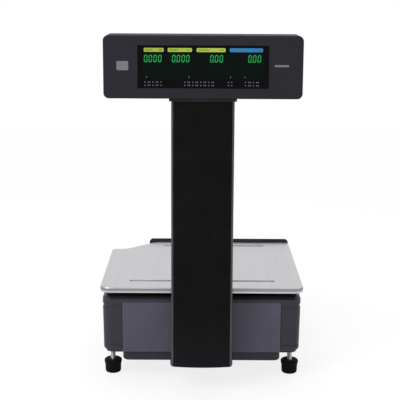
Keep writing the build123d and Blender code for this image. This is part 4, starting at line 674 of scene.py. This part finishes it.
for tint, (material, columns) in presetTints.items():
    cells = []
    for column in columns:
        for row in range(k["presetRows"]):
            left = sheetLeft + k["sheetMargin"] + column * cellWide
            high = -panelMiddle + sheetHalf - k["sheetMargin"] - row * cellDeep
            cells.append((left + k["cellGap"] / 2, left + cellWide - k["cellGap"] / 2,
                high - cellDeep + k["cellGap"] / 2, high - k["cellGap"] / 2))
            presetFigures.append((str(row * k["presetColumns"] + column + 1),
                (left + cellWide / 2, high - cellDeep / 2)))
    crownedCells("preset_cells_" + tint[6:].lower(), cells, material)
printedFigures("preset_figures", operatorPlane, presetFigures, k["presetFigure"],
    k["sheetRise"] + k["cellRise"] + k["ink"], inks["legendDark"], "base")
print("stage: the keyboard has its figures and preset cells")


# right side: brass inlet blades, gilt port contacts, the switch's I and O; mm, each laid on a plane facing +X
sidePanel = {
    "bladeGrow": 0.12, "bladeLength": 8.05, "bladeSize": (2.0, 4.0),
        "blades": [(-7.0, -2.0), (0.0, 2.0), (7.0, -2.0)], "inletShift": -9.0, "inletDeep": 15.0,
    "jacks": (53.0, 76.0), "jackContact": (0.3, 2.2, 3.4), "jackSpan": 3.9, "jackCount": 8,
    "serial": 106.0, "serialRows": [(8.4, 5, 1.3), (6.3, 4, -1.5)], "pinRadius": 0.5,
    "portFloor": 12.0, "contactLength": 6.5,
    "switchLean": 8.0, "switchBack": 3.0, "markFrom": 2.8, "markTo": 3.55,
}
brass = workedMetal("brass", skinSettings("#b08d4a", "#a98543", "#d9c08a", lineMm=(12.0, 0.6, 0.6),
    metallic=1.0, specular=0.5, roughness=(0.22, 0.34), relief=0.1, reliefMm=0.03, edgeMm=0.2))
p = sidePanel
entryLow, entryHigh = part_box("power_entry")
entryY = (entryLow.y + entryHigh.y) / 2 / mm
entryZ = (entryLow.z + entryHigh.z) / 2 / mm
faceX = entryHigh.x / mm
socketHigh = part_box("port_sockets")[1].x / mm + 0.6
inletPlane = ((faceX - p["inletDeep"], entryY + p["inletShift"], entryZ), (0.0, 1.0, 0.0), (0.0, 0.0, 1.0))
halfWide, halfTall = p["bladeSize"][0] / 2 + p["bladeGrow"] / 2, p["bladeSize"][1] / 2 + p["bladeGrow"] / 2
blades = [roundedOutline(a - halfWide, a + halfWide, b - halfTall, b + halfTall, 0.4, 3) for a,
    b in p["blades"]]
raisedShapes("inlet_blades", inletPlane, blades, 0.0, p["bladeLength"], brass, "base")
contacts = []
half, low, high = p["jackContact"]
for shift in p["jacks"]:
    for a in shift + np.linspace(-p["jackSpan"], p["jackSpan"], p["jackCount"]):
        contacts.append(roundedOutline(a - half, a + half, low, high, 0.1, 2))
pin = p["pinRadius"]
for span, count, b in p["serialRows"]:
    for a in p["serial"] + np.linspace(-span, span, count):
        contacts.append(roundedOutline(a - pin, a + pin, b - pin, b + pin, pin, 4))
portPlane = ((socketHigh - p["portFloor"], entryY, entryZ), (0.0, 1.0, 0.0), (0.0, 0.0, 1.0))
raisedShapes("port_contacts", portPlane, contacts, 0.0, p["contactLength"], brass, "base")


def ringOutline(centre, outer, inner, steps=24):
    # a ring as one outline: out once round, back once round the hole
    turn = np.linspace(0, 2 * math.pi * 0.999, steps)
    circle = np.column_stack([np.cos(turn), np.sin(turn)])
    return np.vstack([circle * outer, circle[::-1] * inner]) + centre


lean = math.radians(p["switchLean"])
rockerLow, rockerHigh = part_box("power_rocker")
rockerPlane = ((faceX - p["switchBack"], (rockerLow.y + rockerHigh.y) / 2 / mm, entryZ), (0.0, 1.0, 0.0),
    (-math.sin(lean), 0.0, math.cos(lean)))
marks = [roundedOutline(-0.35, 0.35, 4.0, 6.6, 0.3, 3), ringOutline((0.0, -5.3), 1.35, 0.75)]
raisedShapes("power_rocker_marks", rockerPlane, marks, p["markFrom"], p["markTo"], inks["legendWhite"],
    "power_rocker")


# cross recesses of the screws, drawn as dark inlays that are painted shade in the hollows; mm, arms across
# and up each screw head
crossRecess = {
    "arm": 1.7, "half": 0.42, "rise": 0.03, "spread": (132.0, 34.35),
    "bracketArm": 2.6, "bracketHalf": 0.6, "bracketSpread": (32.0, 33.0), "bracketShift": 4.0,
}


def crossOutline(centre, arm, half):
    # twelve corners of a plus sign
    a, h = arm, half
    corners = [(h, h), (h, a), (-h, a), (-h, h), (-a, h), (-a, -h), (-h, -h), (-h, -a), (h, -a), (h, -h),
        (a, -h), (a, h)]
    return np.array(corners) + centre


c = crossRecess
# painted shade: this dark metal stands for the shade inside each cross recess
recessPaintedShade = workedMetal("recessPaintedShade", skinSettings("#1a1a1c", "#222224", "#55555a", lineMm=(0.8, 0.8, 0.8),
    metallic=0.7, specular=0.3, relief=0.1, reliefMm=0.03, edgeMm=0.1))
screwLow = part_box("case_screws")[0]
coverLow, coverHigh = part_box("head_rear_cover")
headMiddle = (coverLow.z + coverHigh.z) / 2 / mm
headPlane = ((0.0, coverHigh.y / mm + 1.2, headMiddle), (-1.0, 0.0, 0.0), (0.0, 0.0, 1.0))
spots = [(a * c["spread"][0], b * c["spread"][1]) for a in (-1, 1) for b in (-1, 1)]
raisedShapes("head_screw_recesses", headPlane, [crossOutline(spot, c["arm"], c["half"]) for spot in spots],
    0.0, c["rise"], recessPaintedShade, "base")
bracketLow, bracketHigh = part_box("column_bracket")
bracketMiddle = (bracketLow.y + bracketHigh.y) / 2 / mm + c["bracketShift"]
underPlane = ((0.0, bracketMiddle, screwLow.z / mm), (1.0, 0.0, 0.0), (0.0, -1.0, 0.0))
spots = [(a * c["bracketSpread"][0], b * c["bracketSpread"][1]) for a in (-1, 1) for b in (-1, 1)]
raisedShapes("bracket_screw_recesses", underPlane, [crossOutline(spot, c["bracketArm"], c["bracketHalf"])
    for spot in spots], 0.0, c["rise"], recessPaintedShade, "base")


# spirit level: tinted liquid shaped as a low dome, with its bubble; mm above the vial's floor
levelVial = {"radius": 8.7, "liquidRise": 1.1, "bubbleRadius": 2.3, "bubbleRise": 0.5,
    "around": 32, "steps": 8}
vialLiquid = smokedAcrylic("vialLiquid", skinSettings("#a9bd35", "#b3c640", "#d5e07c", roughness=(0.06, 0.1),
    specular=0.5, relief=0.02, edgeMm=0.1, rubbed=0.0))
vialBubble = smokedAcrylic("vialBubble", skinSettings("#dfe8a8", "#e5edb6", "#f4f8dd", roughness=(0.04, 0.08),
    specular=0.5, relief=0.02, edgeMm=0.1, rubbed=0.0))


def lowDome(name, centre, radius, rise, around, steps, material):
    # height = rise * (1 - (distance / radius)^2) on rings round the centre, closed by its flat underside
    t = np.linspace(1, 0, steps, endpoint=False)[:, None]
    turn = np.linspace(0, 2 * math.pi, around, endpoint=False)[None, :]
    rings = np.stack([centre[0] + radius * t * np.cos(turn), centre[1] + radius * t * np.sin(turn),
        centre[2] + rise * (1 - t ** 2) + 0 * turn], -1)
    points = np.vstack([rings.reshape(-1, 3), [[centre[0], centre[1], centre[2] + rise]]]) * mm
    row, column = np.meshgrid(np.arange(steps - 1), np.arange(around), indexing="ij")
    after = (column + 1) % around
    quads = np.stack([row * around + column, row * around + after, (row + 1) * around + after,
        (row + 1) * around + column], -1).reshape(-1, 4)
    ring = np.arange(around)
    tip = np.column_stack([(steps - 1) * around + ring, (steps - 1) * around + (ring + 1) % around,
        np.full_like(ring, steps * around)])
    return meshPiece(name, points, quads.tolist() + tip.tolist() + [ring[::-1].tolist()], material, "base",
        smooth=True)


v = levelVial
levelLow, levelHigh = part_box("spirit_level")
vialCentre = ((levelLow.x + levelHigh.x) / 2 / mm, (levelLow.y + levelHigh.y) / 2 / mm,
    levelHigh.z / mm - 0.75)
lowDome("level_liquid", vialCentre, v["radius"], v["liquidRise"], v["around"], v["steps"], vialLiquid)
lowDome("level_bubble", (vialCentre[0] + 0.4, vialCentre[1] - 0.3, vialCentre[2] + 0.9), v["bubbleRadius"],
    v["bubbleRise"], v["around"], v["steps"], vialBubble)
print("stage: the side sockets, screws and level are dressed")


# studio: one pale floor, a white surround, three soft lamps
studio = {
    "floorHalf": 150.0, "floorColour": "#ececec", "floorGlow": 0.82, "whitens": (0.7, 3.0), "surround": 0.55,
    "lamps": [
        ("key", (-1.5, -1.6, 2.1), (0.0, 0.0, 0.25), 1.4, 44.0, True),
        ("fill", (1.8, -1.3, 1.2), (0.0, -0.1, 0.25), 1.4, 2.5, True),
        ("top", (0.0, 0.5, 2.3), (0.0, 0.0, 0.15), 1.6, 34.0, False),
    ],
}
floorMaterial = bpy.data.materials.new("studioFloor")
floorMaterial.use_nodes = True
floorMaterial.node_tree.nodes.clear()
ray = addNode(floorMaterial, "ShaderNodeLightPath")
seen = addNode(floorMaterial, "ShaderNodeMath", {"operation": "ADD", "use_clamp": True},
    {0: (ray, "Is Camera Ray"), 1: (ray, "Is Glossy Ray")})
seenToo = addNode(floorMaterial, "ShaderNodeMath", {"operation": "ADD", "use_clamp": True},
    {0: (seen, "Value"), 1: (ray, "Is Transmission Ray")})
place = addNode(floorMaterial, "ShaderNodeTexCoord")
away = addNode(floorMaterial, "ShaderNodeVectorMath", {"operation": "LENGTH"}, {0: (place, "Object")})
whiter = addNode(floorMaterial, "ShaderNodeMapRange", {"From Min": studio["whitens"][0],
    "From Max": studio["whitens"][1], "To Min": studio["floorGlow"], "To Max": 1.0},
    {"Value": (away, "Value")})
share = addNode(floorMaterial, "ShaderNodeMath", {"operation": "MULTIPLY"},
    {0: (seenToo, "Value"), 1: (whiter, "Result")})
paper = addNode(floorMaterial, "ShaderNodeBsdfDiffuse", {"Color": linearColour(studio["floorColour"])})
white = addNode(floorMaterial, "ShaderNodeEmission", {"Color": (1.0, 1.0, 1.0, 1.0), "Strength": 1.0})
mixed = addNode(floorMaterial, "ShaderNodeMixShader", {},
    {0: (share, "Value"), 1: (paper, "BSDF"), 2: (white, "Emission")})
addNode(floorMaterial, "ShaderNodeOutputMaterial", {}, {"Surface": (mixed, "Shader")})
half = studio["floorHalf"]
floorMesh = bpy.data.meshes.new("studio_floor")
floorMesh.from_pydata([(-half, -half, 0), (half, -half, 0), (half, half, 0), (-half, half, 0)], [],
    [(0, 1, 2, 3)])
floorMesh.materials.append(floorMaterial)
floor = bpy.data.objects.new("studio_floor", floorMesh)
bpy.context.scene.collection.objects.link(floor)

world = bpy.data.worlds.new("studioSurround")
bpy.context.scene.world = world
world.use_nodes = True
world.node_tree.nodes.clear()
ray = addNode(world, "ShaderNodeLightPath")
seen = addNode(world, "ShaderNodeMath", {"operation": "ADD", "use_clamp": True},
    {0: (ray, "Is Camera Ray"), 1: (ray, "Is Glossy Ray")})
seenToo = addNode(world, "ShaderNodeMath", {"operation": "ADD", "use_clamp": True},
    {0: (seen, "Value"), 1: (ray, "Is Transmission Ray")})
level = addNode(world, "ShaderNodeMapRange", {"To Min": studio["surround"], "To Max": 1.0},
    {"Value": (seenToo, "Value")})
sky = addNode(world, "ShaderNodeBackground", {"Color": (1.0, 1.0, 1.0, 1.0)}, {"Strength": (level, "Result")})
addNode(world, "ShaderNodeOutputWorld", {}, {"Surface": (sky, "Background")})

for lampName, place, target, size, power, mirrored in studio["lamps"]:
    lamp = bpy.data.lights.new(lampName, "AREA")
    lamp.size = size
    lamp.energy = power
    holder = bpy.data.objects.new(lampName, lamp)
    holder.location = place
    holder.rotation_euler = (Vector(target) - Vector(place)).to_track_quat("-Z", "Y").to_euler()
    # the lamp overhead lights surfaces but isn't mirrored, so that the platter doesn't clip from above
    holder.visible_glossy = mirrored
    bpy.context.scene.collection.objects.link(holder)
bpy.context.scene.view_settings.view_transform = "Standard"

# camera: looks along +Y and 11.7 degrees down, with a slight roll
view = {"place": (-0.0050, -1.7096, 0.6096), "yaw": 0.0565, "pitch": 11.738, "roll": 0.306, "lens": 91.68}
yaw, pitch, roll = (math.radians(view[part]) for part in ("yaw", "pitch", "roll"))
forward = Vector((math.sin(yaw) * math.cos(pitch), math.cos(yaw) * math.cos(pitch), -math.sin(pitch)))
levelRight = Vector((math.cos(yaw), -math.sin(yaw), 0.0))
levelUp = levelRight.cross(forward)
right = levelRight * math.cos(roll) + levelUp * math.sin(roll)
up = levelUp * math.cos(roll) - levelRight * math.sin(roll)
turned = Matrix((right, up, -forward)).transposed().to_4x4()
lens = bpy.data.cameras.new("studio_camera")
lens.lens = view["lens"]
lens.sensor_width = 36.0
camera = bpy.data.objects.new("studio_camera", lens)
camera.matrix_world = Matrix.Translation(view["place"]) @ turned
bpy.context.scene.collection.objects.link(camera)
bpy.context.scene.camera = camera
print("stage: the studio is lit and the camera is in place")
